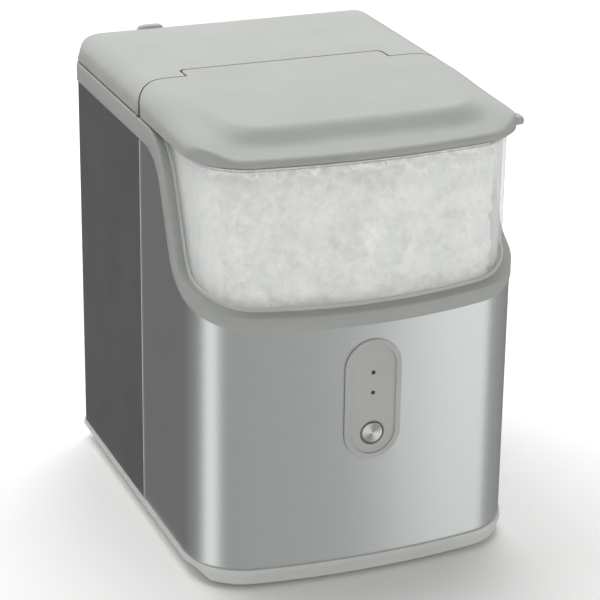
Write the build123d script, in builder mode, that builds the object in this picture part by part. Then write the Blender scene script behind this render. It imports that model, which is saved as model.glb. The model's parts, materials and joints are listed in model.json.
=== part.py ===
from build123d import *
from math import sqrt
import os

# Countertop nugget ice maker, built as an assembly of its real pieces.
# Millimetres, +Z up, the front faces -Y, and the origin is on the floor below the middle of the
# casing. Each piece is written to parts/ as one STEP file named after its node.

os.makedirs("parts", exist_ok=True)

# ---- casing, driving dimensions ----------------------------------------------------------
width = 270.0  # across the flat sides
depth = 328.0  # from the foremost point of the bowed front to the back panel
height = 366.0  # floor to the top of the lid
corner_radius = 50.0  # front corners in plan
bow_radius = 605.0  # plan radius of the bowed front
back_radius = 10.0  # back corners in plan
wall = 2.0  # moulded walls
sheet = 0.8  # steel sheet
clearance = 0.4  # between parts that only drop into place
running_fit = 0.08  # radial clearance of a pin or shaft that turns

foot_height = 4.0
foot_radius = 11.0
foot_inset = 34.0
base_height = 13.0  # moulded base, from the feet to the casing's lower edge
base_lip = 4.0  # height of the lip that the casing stands on
lip_proud = 1.6
side_tuck = 12.0  # how far the base's sides slope in
base_floor = 2.5

seam_from_front = 154.0  # where the steel wrap meets the side panels
hem = 6.0  # inward fold of the wrap at the seam

# ---- lid, cover and trim -------------------------------------------------------------------
lid_rise = 20.5  # height of the lid and of the rear cover
lid_round = 16.0  # rounding of their top edge
lid_wall = 2.5
lid_gap = 1.2  # shadow line below the lid and the cover
trim_side = 16.1  # height of the trim along the sides and back
trim_front = 12.0  # height of the trim across the front
trim_proud = 1.0
trim_inset = 9.5  # how deep the trim reaches inwards
# The corners of its S, before they are rounded: their distances behind the front, and the height
# of the lower corner above the front edge.
trim_shoulder = 113.0
trim_foot = 76.0
trim_rise = 29.3
sill_shoulder = 102.6
sill_foot = 62.0
sill_rise = 24.7
window_height = 119.3  # trim to trim, at the front
window_inset = 7.0
window_wall = 2.5
window_drop = 4.0  # top of the window below the top of the trim
seal_height = 2.5

hinge_reach = 34.5  # back edge of the lid's tongue
tongue_half = 86.0  # half width of the tongue
shoulder_y = 17.0  # back edge of the lid beside the tongue
shoulder_radius = 34.0  # rounding of the lid's back corners
swing_gap = 1.6  # free gap round the hinged edges
pivot_y = 26.5
pivot_drop = 6.0  # pivot below the top surface
pin_radius = 2.5
pin_length = 22.0
boss_radius = 4.6
boss_length = 10.0
clip_x = -68.0  # hose clip on the back
clip_width = 22.0
clip_reach = 6.6
clip_height = 22.0
clip_drop = 20.0  # its foot below the top of the lid
clip_bore = 2.2

# ---- control panel -------------------------------------------------------------------------
panel_width = 46.8
panel_height = 100.3
panel_below_trim = 11.6
panel_proud = 1.6
panel_rim = 3.6
plate_thickness = 1.5
plate_recess = 1.2
lamp_radius = 1.6
lamp_high = 22.2  # above the panel's middle
lamp_low = 5.5
button_radius = 8.4
button_below = 28.3  # below the panel's middle
button_gap = 0.35
button_travel = 1.5
ring_width = 1.4
button_proud = 0.6
bezel_depth = 7.0
flange_thickness = 1.0
stem_radius = 2.5
stem_length = 4.0
switch_height = 3.5
board_thickness = 1.6

# ---- inside ----------------------------------------------------------------------------------
basket_wall = 1.8
basket_gap = 0.8
divider_y = -12.0  # front face of the wall behind the basket
reservoir_wall = 2.0
reservoir_height = 62.0
reservoir_half = 104.0
reservoir_front = 26.0  # behind the front
reservoir_gap = 8.0  # in front of the divider
rim_thickness = 1.8  # rim of the basket
pump_behind = 94.0  # pump axis behind the front
pump_radius = 20.0
pump_height = 40.0
nozzle_length = 8.0
float_x = 60.0
float_behind = 84.0
float_height = 14.0
float_travel = 18.0
tower_x = -35.0  # freezing tower
tower_y = 52.0
bore_radius = 20.0
cylinder_wall = 4.0
cylinder_height = 104.0
head_height = 18.0
auger_shaft = 9.0
flight_gap = 0.6
foam_thickness = 12.0
coil_wire = 3.0  # radius of the evaporator tube
chute_width = 54.0
chute_height = 24.0
motor_size = 66.0
motor_height = 74.0
nose_height = 8.0
nose_radius = 18.0
bracket_half = 36.0
compressor_radius = 50.0
compressor_height = 112.0
compressor_x = 64.0
compressor_y = 82.0
mount_height = 11.0
mount_spread = 38.0
fan_radius = 46.0
fan_x = -64.0
fan_z = 78.0
fin_thickness = 0.5
fin_pitch = 3.0
fin_count = 34
fin_depth = 26.0
fin_height = 110.0
row_half = 6.0  # half the distance between the two rows of tubes
level_pitch = 20.0
tube_levels = 5
shroud_depth = 14.0
fan_shaft = 2.0
blade_count = 7
tube_radius = 3.0
pipe_radius = 3.2
capillary_radius = 1.0
drain_radius = 5.0
drain_x = 8.0
drain_behind = 124.0
drain_z = 30.0
spigot_radius = 8.0
spigot_length = 3.6
flange_depth = 1.2

# ---- levels and places that follow from them ---------------------------------------------------
base_top = foot_height + base_height
floor_top = foot_height + base_floor
lid_base = height - lid_rise
trim_top = lid_base - lid_gap
trim_rear_low = trim_top - trim_side
sill = trim_top - window_height
trim_low = sill - trim_front
window_top = trim_top - window_drop
front = -depth / 2
back = depth / 2
side = width / 2
seam_y = front + seam_from_front
pivot_z = height - pivot_drop
rim_end = front + sill_shoulder + 11  # the basket's rim stops short of the trim's shoulder
panel_z = trim_low - panel_below_trim - panel_height / 2
button_z = panel_z - button_below
basket_inset = window_inset + window_wall + basket_gap
basket_floor = trim_low + 1
shelf_z = trim_low - 2 - wall
reservoir_z = shelf_z - reservoir_height
chute_z = trim_top - 8 - chute_height
head_z = chute_z - head_height
cylinder_z = head_z - cylinder_height
motor_z = cylinder_z - motor_height
drain_y = front + drain_behind
pump_y = front + pump_behind
float_y = front + float_behind
beyond = depth + width  # longer than any part, for cuts that run right through


def casing_plan(inset=0.0):
    """Plan of the casing: flat sides and back, round corners and a bowed front, moved inwards."""
    drop = bow_radius - sqrt(bow_radius**2 - side**2)
    with BuildSketch() as plan:
        with BuildLine():
            ThreePointArc((-side, front + drop), (0, front), (side, front + drop))
            Polyline((side, front + drop), (side, back), (-side, back), (-side, front + drop))
        make_face()
        fillet(plan.vertices().group_by(Axis.Y)[0], corner_radius)
        fillet(plan.vertices().group_by(Axis.Y)[-1], back_radius)
        if inset:
            offset(amount=-inset)
    return plan.sketch


def casing_ring(outer, inner):
    """Plan of a wall that follows the casing, between two insets."""
    with BuildSketch() as ring:
        add(casing_plan(outer))
        add(casing_plan(inner), mode=Mode.SUBTRACT)
    return ring.sketch


def casing_strip(outer, inner, y_min, y_max):
    """The part of such a wall that lies between two distances from front to back."""
    with BuildSketch() as strip:
        add(casing_ring(outer, inner))
        with Locations((0, (y_min + y_max) / 2)):
            Rectangle(beyond, y_max - y_min, mode=Mode.INTERSECT)
    return strip.sketch


def below_edge(level, shoulder, foot, foot_level, nose_level, radii, rear):
    """Side view of all that lies under a trim edge: level at the back, then an S down to the front."""
    nose = front - trim_proud - 1
    with BuildSketch() as region:
        with BuildLine():
            edge = FilletPolyline(
                (rear, level), (shoulder, level), (foot, foot_level), (nose, nose_level), radius=radii
            )
            Polyline(edge @ 1, (nose, -1), (rear, -1), edge @ 0)
        make_face()
    return region.sketch


def under_trim(rear=back + 20):
    """Side view of all that lies below the trim."""
    return below_edge(
        trim_rear_low, front + trim_shoulder, front + trim_foot, trim_low + trim_rise, trim_low,
        (40.0, 40.0), rear,
    )


def under_sill(rear=back + 20, rise=0.0):
    """Side view of all that lies below the trim's upper edge, raised by rise."""
    return below_edge(
        trim_top + rise,
        front + sill_shoulder - rise * 0.66,
        front + sill_foot - rise * 0.8,
        sill + sill_rise + rise,
        sill + rise,
        (50.0, 30.0),
        rear,
    )


def pill(length, across):
    """An upright pill outline."""
    with BuildSketch() as outline:
        SlotOverall(length, across, rotation=90)
    return outline.sketch


def save(piece, name):
    """Label a finished piece and write it as a STEP file."""
    piece.label = name
    export_step(piece, f"parts/{name}.step")


def pipe(name, points, radii, radius):
    """A round tube along straight runs joined by arcs."""
    with BuildPart() as tube:
        with BuildLine() as route:
            FilletPolyline(*points, radius=radii)
        start = route.wires()[0]
        with BuildSketch(Plane(origin=start @ 0, z_dir=start % 0)):
            Circle(radius)
        sweep(path=start)
    save(tube.part, name)


# ---- base and feet ---------------------------------------------------------------------------
foot_places = GridLocations(width - 2 * foot_inset, depth - 2 * foot_inset, 2, 2)

with BuildPart() as base_pan:
    with BuildSketch(Plane.XY.offset(foot_height)):
        add(casing_plan(1.0))
    extrude(amount=base_height - base_lip)
    with BuildSketch(Plane.XY.offset(base_top - base_lip)):
        add(casing_plan(-lip_proud))
    extrude(amount=base_lip)
    with BuildSketch(Plane.XZ):
        for hand in (-1, 1):
            with BuildLine():
                Polyline(
                    (hand * (side - side_tuck), foot_height),
                    (hand * (side + 5), foot_height),
                    (hand * (side + 5), base_top - base_lip),
                    (hand * (side - 1), base_top - base_lip),
                    close=True,
                )
            make_face()
    extrude(amount=beyond, both=True, mode=Mode.SUBTRACT)
    with BuildSketch(Plane.XY.offset(floor_top)):
        add(casing_plan(side_tuck + wall + 1))
    extrude(amount=base_height, mode=Mode.SUBTRACT)
    with BuildSketch(Plane.XY.offset(base_top)):
        add(casing_ring(sheet + hem + clearance, sheet + hem + clearance + wall))
    extrude(amount=5.0)
    with BuildSketch(Plane.XY.offset(foot_height)):
        with foot_places:
            Circle(3.0)
    extrude(amount=base_floor, mode=Mode.SUBTRACT)
    fillet(base_pan.edges().filter_by(GeomType.LINE).group_by(Axis.Z)[0].filter_by(Axis.Y), 2.0)
save(base_pan.part, "base_pan")

with BuildPart() as rubber_feet:
    with BuildSketch():
        with foot_places:
            Circle(foot_radius)
    extrude(amount=foot_height)
    chamfer(rubber_feet.faces().sort_by(Axis.Z)[0:4].edges(), 1.0)
    with BuildSketch(Plane.XY.offset(foot_height)):
        with foot_places:
            Circle(3.0)
    extrude(amount=base_floor)
save(rubber_feet.part, "rubber_feet")

# ---- casing ------------------------------------------------------------------------------------
with BuildPart() as front_wrap:
    with BuildSketch(Plane.XY.offset(base_top)):
        add(casing_ring(0, sheet))
    extrude(amount=height)
    with BuildSketch(Plane.XY.offset(base_top)):
        for hand in (-1, 1):
            with Locations((hand * (side - sheet - hem / 2), seam_y - sheet / 2)):
                Rectangle(hem, sheet)
            with Locations((hand * (side + 0.25), seam_y - 1.0)):
                Rectangle(0.5, 2.0)
    extrude(amount=height)
    with BuildSketch(Plane.YZ):
        add(under_trim(seam_y))
    extrude(amount=beyond, both=True, mode=Mode.INTERSECT)
    with BuildSketch(Plane.XZ):
        with Locations((0, panel_z)):
            add(pill(panel_height - 2 * panel_rim + 1, panel_width - 2 * panel_rim + 1))
    extrude(amount=depth, mode=Mode.SUBTRACT)
save(front_wrap.part, "front_wrap")

panel_edge = side - 24  # where the side panels end on the back
for hand, name in ((-1, "left_side_panel"), (1, "right_side_panel")):
    with BuildPart() as side_panel:
        with BuildSketch(Plane.XY.offset(base_top)):
            add(casing_ring(0, wall))
            with Locations((hand * (panel_edge + beyond / 2), seam_y + 0.4 + beyond / 2)):
                Rectangle(beyond, beyond, mode=Mode.INTERSECT)
        extrude(amount=trim_rear_low - base_top)
    save(side_panel.part, name)

vent_x = fan_x
vent_half = 36.0
vent_low = 24.0
vent_high = 132.0
gland_x = 76.0
gland_z = 42.0
screw_places = [
    (hand * (panel_edge - 5), z) for hand in (-1, 1) for z in (base_top + 14, 175.0, trim_rear_low - 14)
]

with BuildPart() as back_panel:
    with BuildSketch(Plane.XY.offset(base_top)):
        with Locations((0, back - wall / 2)):
            Rectangle(2 * panel_edge - 2 * clearance, wall)
    extrude(amount=trim_rear_low - base_top)
    with BuildSketch(Plane.XZ.offset(-back)):
        with Locations((vent_x, (vent_low + vent_high) / 2)):
            RectangleRounded(2 * vent_half, vent_high - vent_low, 8)
        with Locations((drain_x, drain_z)):
            Circle(spigot_radius)
        with Locations((gland_x, gland_z)):
            Circle(8)
        with Locations((0, trim_rear_low - 60)):
            with GridLocations(18, 9, 9, 6):
                SlotOverall(13, 3.4)
    extrude(amount=wall, mode=Mode.SUBTRACT)
    with BuildSketch(Plane.XZ.offset(-back)):
        with Locations(*screw_places):
            Circle(1.6)
    extrude(amount=wall, mode=Mode.SUBTRACT)
save(back_panel.part, "back_panel")

with BuildPart() as vent_grille:
    with BuildSketch(Plane.XZ.offset(-back)):
        with Locations((vent_x, (vent_low + vent_high) / 2)):
            RectangleRounded(2 * vent_half - 0.2, vent_high - vent_low - 0.2, 7.9)
    extrude(amount=wall)
    with BuildSketch(Plane.XZ.offset(-back)):
        with Locations((vent_x, (vent_low + vent_high) / 2)):
            with GridLocations(vent_half - 4, 7.2, 2, 13):
                SlotOverall(vent_half - 9, 4.2)
    extrude(amount=wall, mode=Mode.SUBTRACT)
save(vent_grille.part, "vent_grille")

with BuildPart() as case_screws:
    with BuildSketch(Plane.XZ.offset(-back - 1.6)):
        with Locations(*screw_places):
            Circle(3.4)
    extrude(amount=1.6)
    fillet(case_screws.faces().sort_by(Axis.Y)[-6:].edges(), 0.9)
    with BuildSketch(Plane.XZ.offset(-back)):
        with Locations(*screw_places):
            Circle(1.6)
    extrude(amount=wall)
    with BuildSketch(Plane.XZ.offset(-back - 1.6)):
        with Locations(*screw_places):
            Rectangle(3.6, 0.8)
            Rectangle(0.8, 3.6)
    extrude(amount=0.8, mode=Mode.SUBTRACT)
save(case_screws.part, "case_screws")

# ---- trim, window and its seal -------------------------------------------------------------------
with BuildPart() as trim_frame:
    with BuildSketch():
        add(casing_ring(-trim_proud, trim_inset))
    extrude(amount=trim_top)
    with BuildSketch(Plane.YZ):
        add(under_sill())
    extrude(amount=beyond, both=True, mode=Mode.INTERSECT)
    with BuildSketch(Plane.YZ):
        add(under_trim())
    extrude(amount=beyond, both=True, mode=Mode.SUBTRACT)
save(trim_frame.part, "trim_frame")

with BuildPart() as window:
    with BuildSketch():
        add(casing_ring(window_inset, window_inset + window_wall))
    extrude(amount=window_top)
    with BuildSketch(Plane.YZ):
        add(under_sill())
    extrude(amount=beyond, both=True, mode=Mode.SUBTRACT)
save(window.part, "window")

with BuildPart() as window_seal:
    with BuildSketch():
        add(casing_ring(window_inset - 1.4, window_inset))
    extrude(amount=window_top)
    with BuildSketch(Plane.YZ):
        add(under_sill(rise=seal_height))
    extrude(amount=beyond, both=True, mode=Mode.INTERSECT)
    with BuildSketch(Plane.YZ):
        add(under_sill())
    extrude(amount=beyond, both=True, mode=Mode.SUBTRACT)
save(window_seal.part, "window_seal")

# ---- lid and rear cover ---------------------------------------------------------------------------
def top_shell():
    """The thin rounded top that the lid and the rear cover are both cut from."""
    with BuildPart() as shell:
        with BuildSketch(Plane.XY.offset(lid_base)):
            add(casing_plan())
        extrude(amount=lid_rise)
        fillet(shell.faces().sort_by(Axis.Z)[-1].edges(), lid_round)
    with BuildPart() as hollow:
        with BuildSketch(Plane.XY.offset(lid_base)):
            add(casing_plan(lid_wall))
        extrude(amount=lid_rise - lid_wall)
        fillet(hollow.faces().sort_by(Axis.Z)[-1].edges(), lid_round - lid_wall)
    with BuildPart() as result:
        add(shell.part)
        add(hollow.part, mode=Mode.SUBTRACT)
    return result.part


def lid_plan(grow=0.0):
    """Plan of the lid: the front part of the top with a narrower tongue behind, grown by grow."""
    tongue_back = hinge_reach + grow
    wing_back = shoulder_y + grow
    with BuildSketch() as plan:
        with Locations((0, wing_back - beyond / 2)):
            Rectangle(width + 2 * grow, beyond)
        fillet(plan.vertices().group_by(Axis.Y)[-1], shoulder_radius + grow)
        with Locations((0, (tongue_back + front) / 2)):
            Rectangle(2 * (tongue_half + grow), tongue_back - front)
        fillet(plan.vertices().group_by(Axis.Y)[-1], 5.0)
    return plan.sketch


pin_x = tongue_half + swing_gap / 2

with BuildPart() as lid:
    add(top_shell())
    with BuildSketch():
        add(lid_plan())
    extrude(amount=height + 1, mode=Mode.INTERSECT)
    with BuildSketch(Plane.YZ.offset(-tongue_half)):
        with Locations((pivot_y, pivot_z)):
            Circle(boss_radius)
    extrude(amount=boss_length)
    with BuildSketch(Plane.YZ.offset(tongue_half - boss_length)):
        with Locations((pivot_y, pivot_z)):
            Circle(boss_radius)
    extrude(amount=boss_length)
    with BuildSketch(Plane.YZ):
        with Locations((pivot_y, pivot_z)):
            Circle(pin_radius + running_fit)
    extrude(amount=side, both=True, mode=Mode.SUBTRACT)
    with BuildSketch(Plane.XY.offset(lid_base)):
        with Locations((side - 1, front + 45)):
            RectangleRounded(11, 15, 3)
        add(casing_plan(lid_wall), mode=Mode.SUBTRACT)
    extrude(amount=6.0)
save(lid.part, "lid")

liner_z = lid_base + 1.0
with BuildPart() as lid_liner:
    with BuildSketch(Plane.XY.offset(liner_z)):
        add(casing_plan(lid_wall + clearance))
        with Locations((0, shoulder_y - shoulder_radius - beyond / 2)):
            Rectangle(beyond, beyond, mode=Mode.INTERSECT)
    extrude(amount=wall)
save(lid_liner.part, "lid_liner")

with BuildPart() as lid_gasket:
    with BuildSketch(Plane.XY.offset(window_top + rim_thickness + 0.3)):
        add(casing_strip(window_inset - 0.4, basket_inset + 2, front - 1, rim_end))
    extrude(amount=liner_z - window_top - rim_thickness - 0.3)
save(lid_gasket.part, "lid_gasket")

with BuildPart() as top_cover:
    add(top_shell())
    with BuildSketch():
        add(lid_plan(swing_gap))
    extrude(amount=height + 1, mode=Mode.SUBTRACT)
    for hand in (-1, 1):
        inner = min(hand * (tongue_half + swing_gap), hand * (tongue_half + swing_gap + boss_length))
        with BuildSketch(Plane.YZ.offset(inner)):
            with Locations((pivot_y, pivot_z)):
                Circle(boss_radius)
        extrude(amount=boss_length)
    with BuildSketch(Plane.YZ):
        with Locations((pivot_y, pivot_z)):
            Circle(pin_radius)
    extrude(amount=tongue_half + swing_gap + boss_length, both=True, mode=Mode.SUBTRACT)
    with BuildSketch(Plane.XY.offset(trim_top)):
        add(casing_strip(lid_wall, trim_inset - 2, shoulder_y + swing_gap, back))
    extrude(amount=lid_gap + 4)
save(top_cover.part, "top_cover")

with BuildPart() as hinge_pins:
    for hand in (-1, 1):
        with BuildSketch(Plane.YZ.offset(hand * pin_x - pin_length / 2)):
            with Locations((pivot_y, pivot_z)):
                Circle(pin_radius)
        extrude(amount=pin_length)
save(hinge_pins.part, "hinge_pins")

with BuildPart() as hose_clip:
    with BuildSketch(Plane.XY.offset(height - clip_drop)) as clip_plan:
        with Locations((clip_x, back + clip_reach / 2)):
            Rectangle(clip_width, clip_reach)
        fillet(clip_plan.vertices().group_by(Axis.Y)[-1], 2.5)
        with Locations((clip_x, back + clip_reach / 2)):
            Circle(clip_bore, mode=Mode.SUBTRACT)
    extrude(amount=clip_height)
save(hose_clip.part, "hose_clip")

# ---- control panel -------------------------------------------------------------------------------
plate_face = front - panel_proud + plate_recess
plate_back = plate_face + plate_thickness
opening_height = panel_height - 2 * panel_rim
opening_width = panel_width - 2 * panel_rim
lamp_places = [(0, panel_z + lamp_high), (0, panel_z + lamp_low)]
ring_radius = button_radius + button_gap + ring_width

with BuildPart() as control_bezel:
    with BuildSketch(Plane.XZ.offset(-front)):
        with Locations((0, panel_z)):
            add(pill(panel_height, panel_width))
    extrude(amount=panel_proud)
    fillet(control_bezel.faces().sort_by(Axis.Y)[0].edges(), 1.0)
    with BuildSketch(Plane.XZ.offset(-front)):
        with Locations((0, panel_z)):
            add(pill(opening_height, opening_width))
    extrude(amount=-bezel_depth)
    with BuildSketch(Plane.XZ.offset(-front + panel_proud)):
        with Locations((0, panel_z)):
            add(pill(opening_height - 2, opening_width - 2))
    extrude(amount=-beyond, mode=Mode.SUBTRACT)
save(control_bezel.part, "control_bezel")

with BuildPart() as control_plate:
    with BuildSketch(Plane.XZ.offset(-plate_back)):
        with Locations((0, panel_z)):
            add(pill(opening_height - 2, opening_width - 2))
        with Locations(*lamp_places):
            Circle(lamp_radius, mode=Mode.SUBTRACT)
        with Locations((0, button_z)):
            Circle(ring_radius, mode=Mode.SUBTRACT)
    extrude(amount=plate_thickness)
save(control_plate.part, "control_plate")

with BuildPart() as indicator_lenses:
    with BuildSketch(Plane.XZ.offset(-plate_back)):
        with Locations(*lamp_places):
            Circle(lamp_radius)
    extrude(amount=plate_thickness + 0.5)
    fillet(indicator_lenses.faces().group_by(Axis.Y)[0].edges(), 0.4)
save(indicator_lenses.part, "indicator_lenses")

with BuildPart() as button_ring:
    with BuildSketch(Plane.XZ.offset(-plate_back)):
        with Locations((0, button_z)):
            Circle(ring_radius)
            Circle(button_radius + button_gap, mode=Mode.SUBTRACT)
    extrude(amount=plate_thickness)
save(button_ring.part, "button_ring")

# The button's cap shows in the ring, and a flange behind the ring keeps it from falling out.
flange_face = plate_back + 0.1
stem_face = flange_face + flange_thickness
with BuildPart() as push_button:
    with BuildSketch(Plane.XZ.offset(-flange_face)):
        with Locations((0, button_z)):
            Circle(button_radius)
    extrude(amount=flange_face - plate_face + button_proud)
    fillet(push_button.faces().sort_by(Axis.Y)[0].edges(), 0.7)
    with BuildSketch(Plane.XZ.offset(-stem_face)):
        with Locations((0, button_z)):
            Circle(button_radius + 1.2)
    extrude(amount=flange_thickness)
    with BuildSketch(Plane.XZ.offset(-stem_face - stem_length)):
        with Locations((0, button_z)):
            Circle(stem_radius)
    extrude(amount=stem_length)
save(push_button.part, "push_button")

switch_face = stem_face + stem_length + button_travel + 0.1
board_face = switch_face + switch_height
with BuildPart() as tact_switch:
    with BuildSketch(Plane.XZ.offset(-board_face)):
        with Locations((0, button_z)):
            Rectangle(6, 6)
    extrude(amount=switch_height - 0.8)
    with BuildSketch(Plane.XZ.offset(-switch_face - 0.8)):
        with Locations((0, button_z)):
            Circle(1.7)
    extrude(amount=0.8)
save(tact_switch.part, "tact_switch")

with BuildPart() as control_board:
    with BuildSketch(Plane.XZ.offset(-board_face - board_thickness)):
        with Locations((0, panel_z)):
            Rectangle(opening_width, opening_height + 8)
    extrude(amount=board_thickness)
    with BuildSketch(Plane.XZ.offset(-board_face)):
        with Locations(*lamp_places):
            Circle(1.5)
    extrude(amount=board_face - plate_back)
    with BuildSketch(Plane.XZ.offset(-board_face - board_thickness - 5)):
        with Locations((0, panel_z - 10)):
            Rectangle(14, 8)
    extrude(amount=5)
save(control_board.part, "control_board")

# ---- ice compartment -------------------------------------------------------------------------------
sensor_lens = 2.6
sensor_places = [(hand * (side - 60), window_top - 22) for hand in (-1, 1)]

with BuildPart() as inner_liner:
    with BuildSketch(Plane.XY.offset(shelf_z)):
        add(casing_plan(sheet + hem + clearance))
        with Locations((0, divider_y + wall - beyond / 2)):
            Rectangle(beyond, beyond, mode=Mode.INTERSECT)
    extrude(amount=wall)
    with BuildSketch(Plane.XY.offset(shelf_z)):
        with Locations((0, divider_y + wall / 2)):
            Rectangle(width - 2 * trim_inset - 1, wall)
    extrude(amount=window_top - shelf_z)
    with BuildSketch(Plane.XY.offset(shelf_z)):
        with Locations((0, front / 2)):
            with GridLocations(34, 22, 5, 4):
                SlotOverall(24, 4)
    extrude(amount=wall, mode=Mode.SUBTRACT)
    with BuildSketch(Plane.XZ):
        with Locations((tower_x, chute_z + chute_height / 2)):
            Rectangle(chute_width + 2 * clearance, chute_height + 2 * clearance)
        with Locations(*sensor_places):
            Circle(sensor_lens)
    extrude(amount=-divider_y, mode=Mode.SUBTRACT)
save(inner_liner.part, "inner_liner")

with BuildPart() as ice_sensors:
    with BuildSketch(Plane.XZ.offset(-divider_y - wall)):
        with Locations(*sensor_places):
            Rectangle(14, 9)
    extrude(amount=-7)
    with BuildSketch(Plane.XZ.offset(-divider_y - wall)):
        with Locations(*sensor_places):
            Circle(sensor_lens)
    extrude(amount=wall)
save(ice_sensors.part, "ice_sensors")

basket_back = divider_y - clearance
basket_scoop = window_top + rim_thickness - chute_z + 1  # dip in the back rim, below the chute
with BuildPart() as ice_basket:
    with BuildSketch(Plane.XY.offset(basket_floor)):
        add(casing_plan(basket_inset))
        with Locations((0, basket_back - beyond / 2)):
            Rectangle(beyond, beyond, mode=Mode.INTERSECT)
    extrude(amount=window_top - basket_floor)
    with BuildSketch(Plane.XY.offset(basket_floor + basket_wall)):
        add(casing_plan(basket_inset + basket_wall))
        with Locations((0, basket_back - basket_wall - beyond / 2)):
            Rectangle(beyond, beyond, mode=Mode.INTERSECT)
    extrude(amount=height, mode=Mode.SUBTRACT)
    with BuildSketch(Plane.XY.offset(window_top)):
        add(casing_strip(window_inset - 0.8, basket_inset + basket_wall, front - 1, rim_end))
        add(casing_strip(basket_inset, basket_inset + basket_wall, front - 1, basket_back))
        with Locations((0, basket_back - basket_wall / 2)):
            Rectangle(width - 2 * basket_inset, basket_wall)
    extrude(amount=rim_thickness)
    with BuildSketch(Plane.XY.offset(basket_floor)):
        with Locations((0, front / 2 - 4)):
            with GridLocations(30, 20, 6, 5):
                SlotOverall(20, 3)
    extrude(amount=basket_wall, mode=Mode.SUBTRACT)
    with BuildSketch(Plane.XZ.offset(-basket_back)):
        with Locations((tower_x, chute_z + basket_scoop / 2)):
            Rectangle(chute_width + 2, basket_scoop)
    extrude(amount=basket_wall, mode=Mode.SUBTRACT)
save(ice_basket.part, "ice_basket")

tub_front = front + reservoir_front
tub_back = divider_y - reservoir_gap
with BuildPart() as water_reservoir:
    with BuildSketch(Plane.XY.offset(reservoir_z)):
        with Locations((0, (tub_front + tub_back) / 2)):
            RectangleRounded(2 * reservoir_half, tub_back - tub_front, 14)
    extrude(amount=reservoir_height)
    with BuildSketch(Plane.XY.offset(reservoir_z + reservoir_wall)):
        with Locations((0, (tub_front + tub_back) / 2)):
            RectangleRounded(
                2 * (reservoir_half - reservoir_wall),
                tub_back - tub_front - 2 * reservoir_wall,
                14 - reservoir_wall,
            )
    extrude(amount=reservoir_height, mode=Mode.SUBTRACT)
    with BuildSketch(Plane.XY.offset(reservoir_z)):
        with Locations((drain_x, drain_y), (tower_x, pump_y)):
            Circle(drain_radius)
    extrude(amount=reservoir_wall, mode=Mode.SUBTRACT)
save(water_reservoir.part, "water_reservoir")

reservoir_floor = reservoir_z + reservoir_wall
with BuildPart() as float_stem:
    with BuildSketch(Plane.XY.offset(reservoir_floor)):
        with Locations((float_x, float_y)):
            Circle(7)
    extrude(amount=2)
    with BuildSketch(Plane.XY.offset(reservoir_floor)):
        with Locations((float_x, float_y)):
            Circle(3)
    extrude(amount=float_height + float_travel + 8)
    with BuildSketch(Plane.XY.offset(reservoir_floor + float_height + float_travel + 6)):
        with Locations((float_x, float_y)):
            Circle(6)
    extrude(amount=2)
save(float_stem.part, "float_stem")

with BuildPart() as water_float:
    with BuildSketch(Plane.XY.offset(reservoir_floor + 3)):
        with Locations((float_x, float_y)):
            Circle(12)
            Circle(3.5, mode=Mode.SUBTRACT)
    extrude(amount=float_height)
    fillet(water_float.edges().filter_by(GeomType.CIRCLE).group_by(SortBy.RADIUS)[-1], 2.0)
save(water_float.part, "water_float")

with BuildPart() as inlet_filter:
    with BuildSketch(Plane.XY.offset(reservoir_floor)):
        with Locations((tower_x, pump_y)):
            Circle(10)
            Circle(8.5, mode=Mode.SUBTRACT)
    extrude(amount=16)
    with BuildSketch(Plane.XY.offset(reservoir_floor + 16)):
        with Locations((tower_x, pump_y)):
            Circle(10)
            with PolarLocations(6, 8):
                Circle(1.4, mode=Mode.SUBTRACT)
    extrude(amount=1.5)
save(inlet_filter.part, "inlet_filter")

# ---- water circuit -----------------------------------------------------------------------------------
outlet_z = reservoir_z - 12
with BuildPart() as water_pump:
    with BuildSketch(Plane.XY.offset(reservoir_z - pump_height)):
        with Locations((tower_x, pump_y)):
            Circle(pump_radius)
    extrude(amount=pump_height)
    fillet(water_pump.faces().sort_by(Axis.Z)[0].edges(), 3)
    with BuildSketch(Plane.XZ.offset(-pump_y)):
        with Locations((tower_x, outlet_z)):
            Circle(pipe_radius + 1)
    extrude(amount=-pump_radius - nozzle_length)
    with BuildSketch(Plane.XY.offset(reservoir_z)):
        with Locations((tower_x, pump_y)):
            Circle(drain_radius)
    extrude(amount=reservoir_wall)
save(water_pump.part, "water_pump")

inlet_z = cylinder_z + 14
pipe(
    "pump_hose",
    [
        (tower_x, pump_y + pump_radius + nozzle_length, outlet_z),
        (tower_x, divider_y + 12, outlet_z),
        (tower_x, divider_y + 12, inlet_z),
        (tower_x, tower_y - bore_radius - cylinder_wall, inlet_z),
    ],
    [9.0, 9.0],
    pipe_radius,
)

pipe(
    "drain_pipe",
    [
        (drain_x, drain_y, reservoir_z),
        (drain_x, drain_y, drain_z),
        (drain_x, back - wall, drain_z),
    ],
    [20.0],
    drain_radius,
)

with BuildPart() as drain_outlet:
    with BuildSketch(Plane.XZ.offset(-back)):
        with Locations((drain_x, drain_z)):
            Circle(spigot_radius)
    extrude(amount=wall)
    with BuildSketch(Plane.XZ.offset(-back)):
        with Locations((drain_x, drain_z)):
            Circle(spigot_radius + 4)
    extrude(amount=-flange_depth)
    with BuildSketch(Plane.XZ.offset(-back - flange_depth)):
        with Locations((drain_x, drain_z)):
            Circle(spigot_radius)
    extrude(amount=-spigot_length)
    with BuildSketch(Plane.XZ.offset(-back + wall)):
        with Locations((drain_x, drain_z)):
            Circle(drain_radius)
    extrude(amount=-beyond, mode=Mode.SUBTRACT)
save(drain_outlet.part, "drain_outlet")

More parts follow.
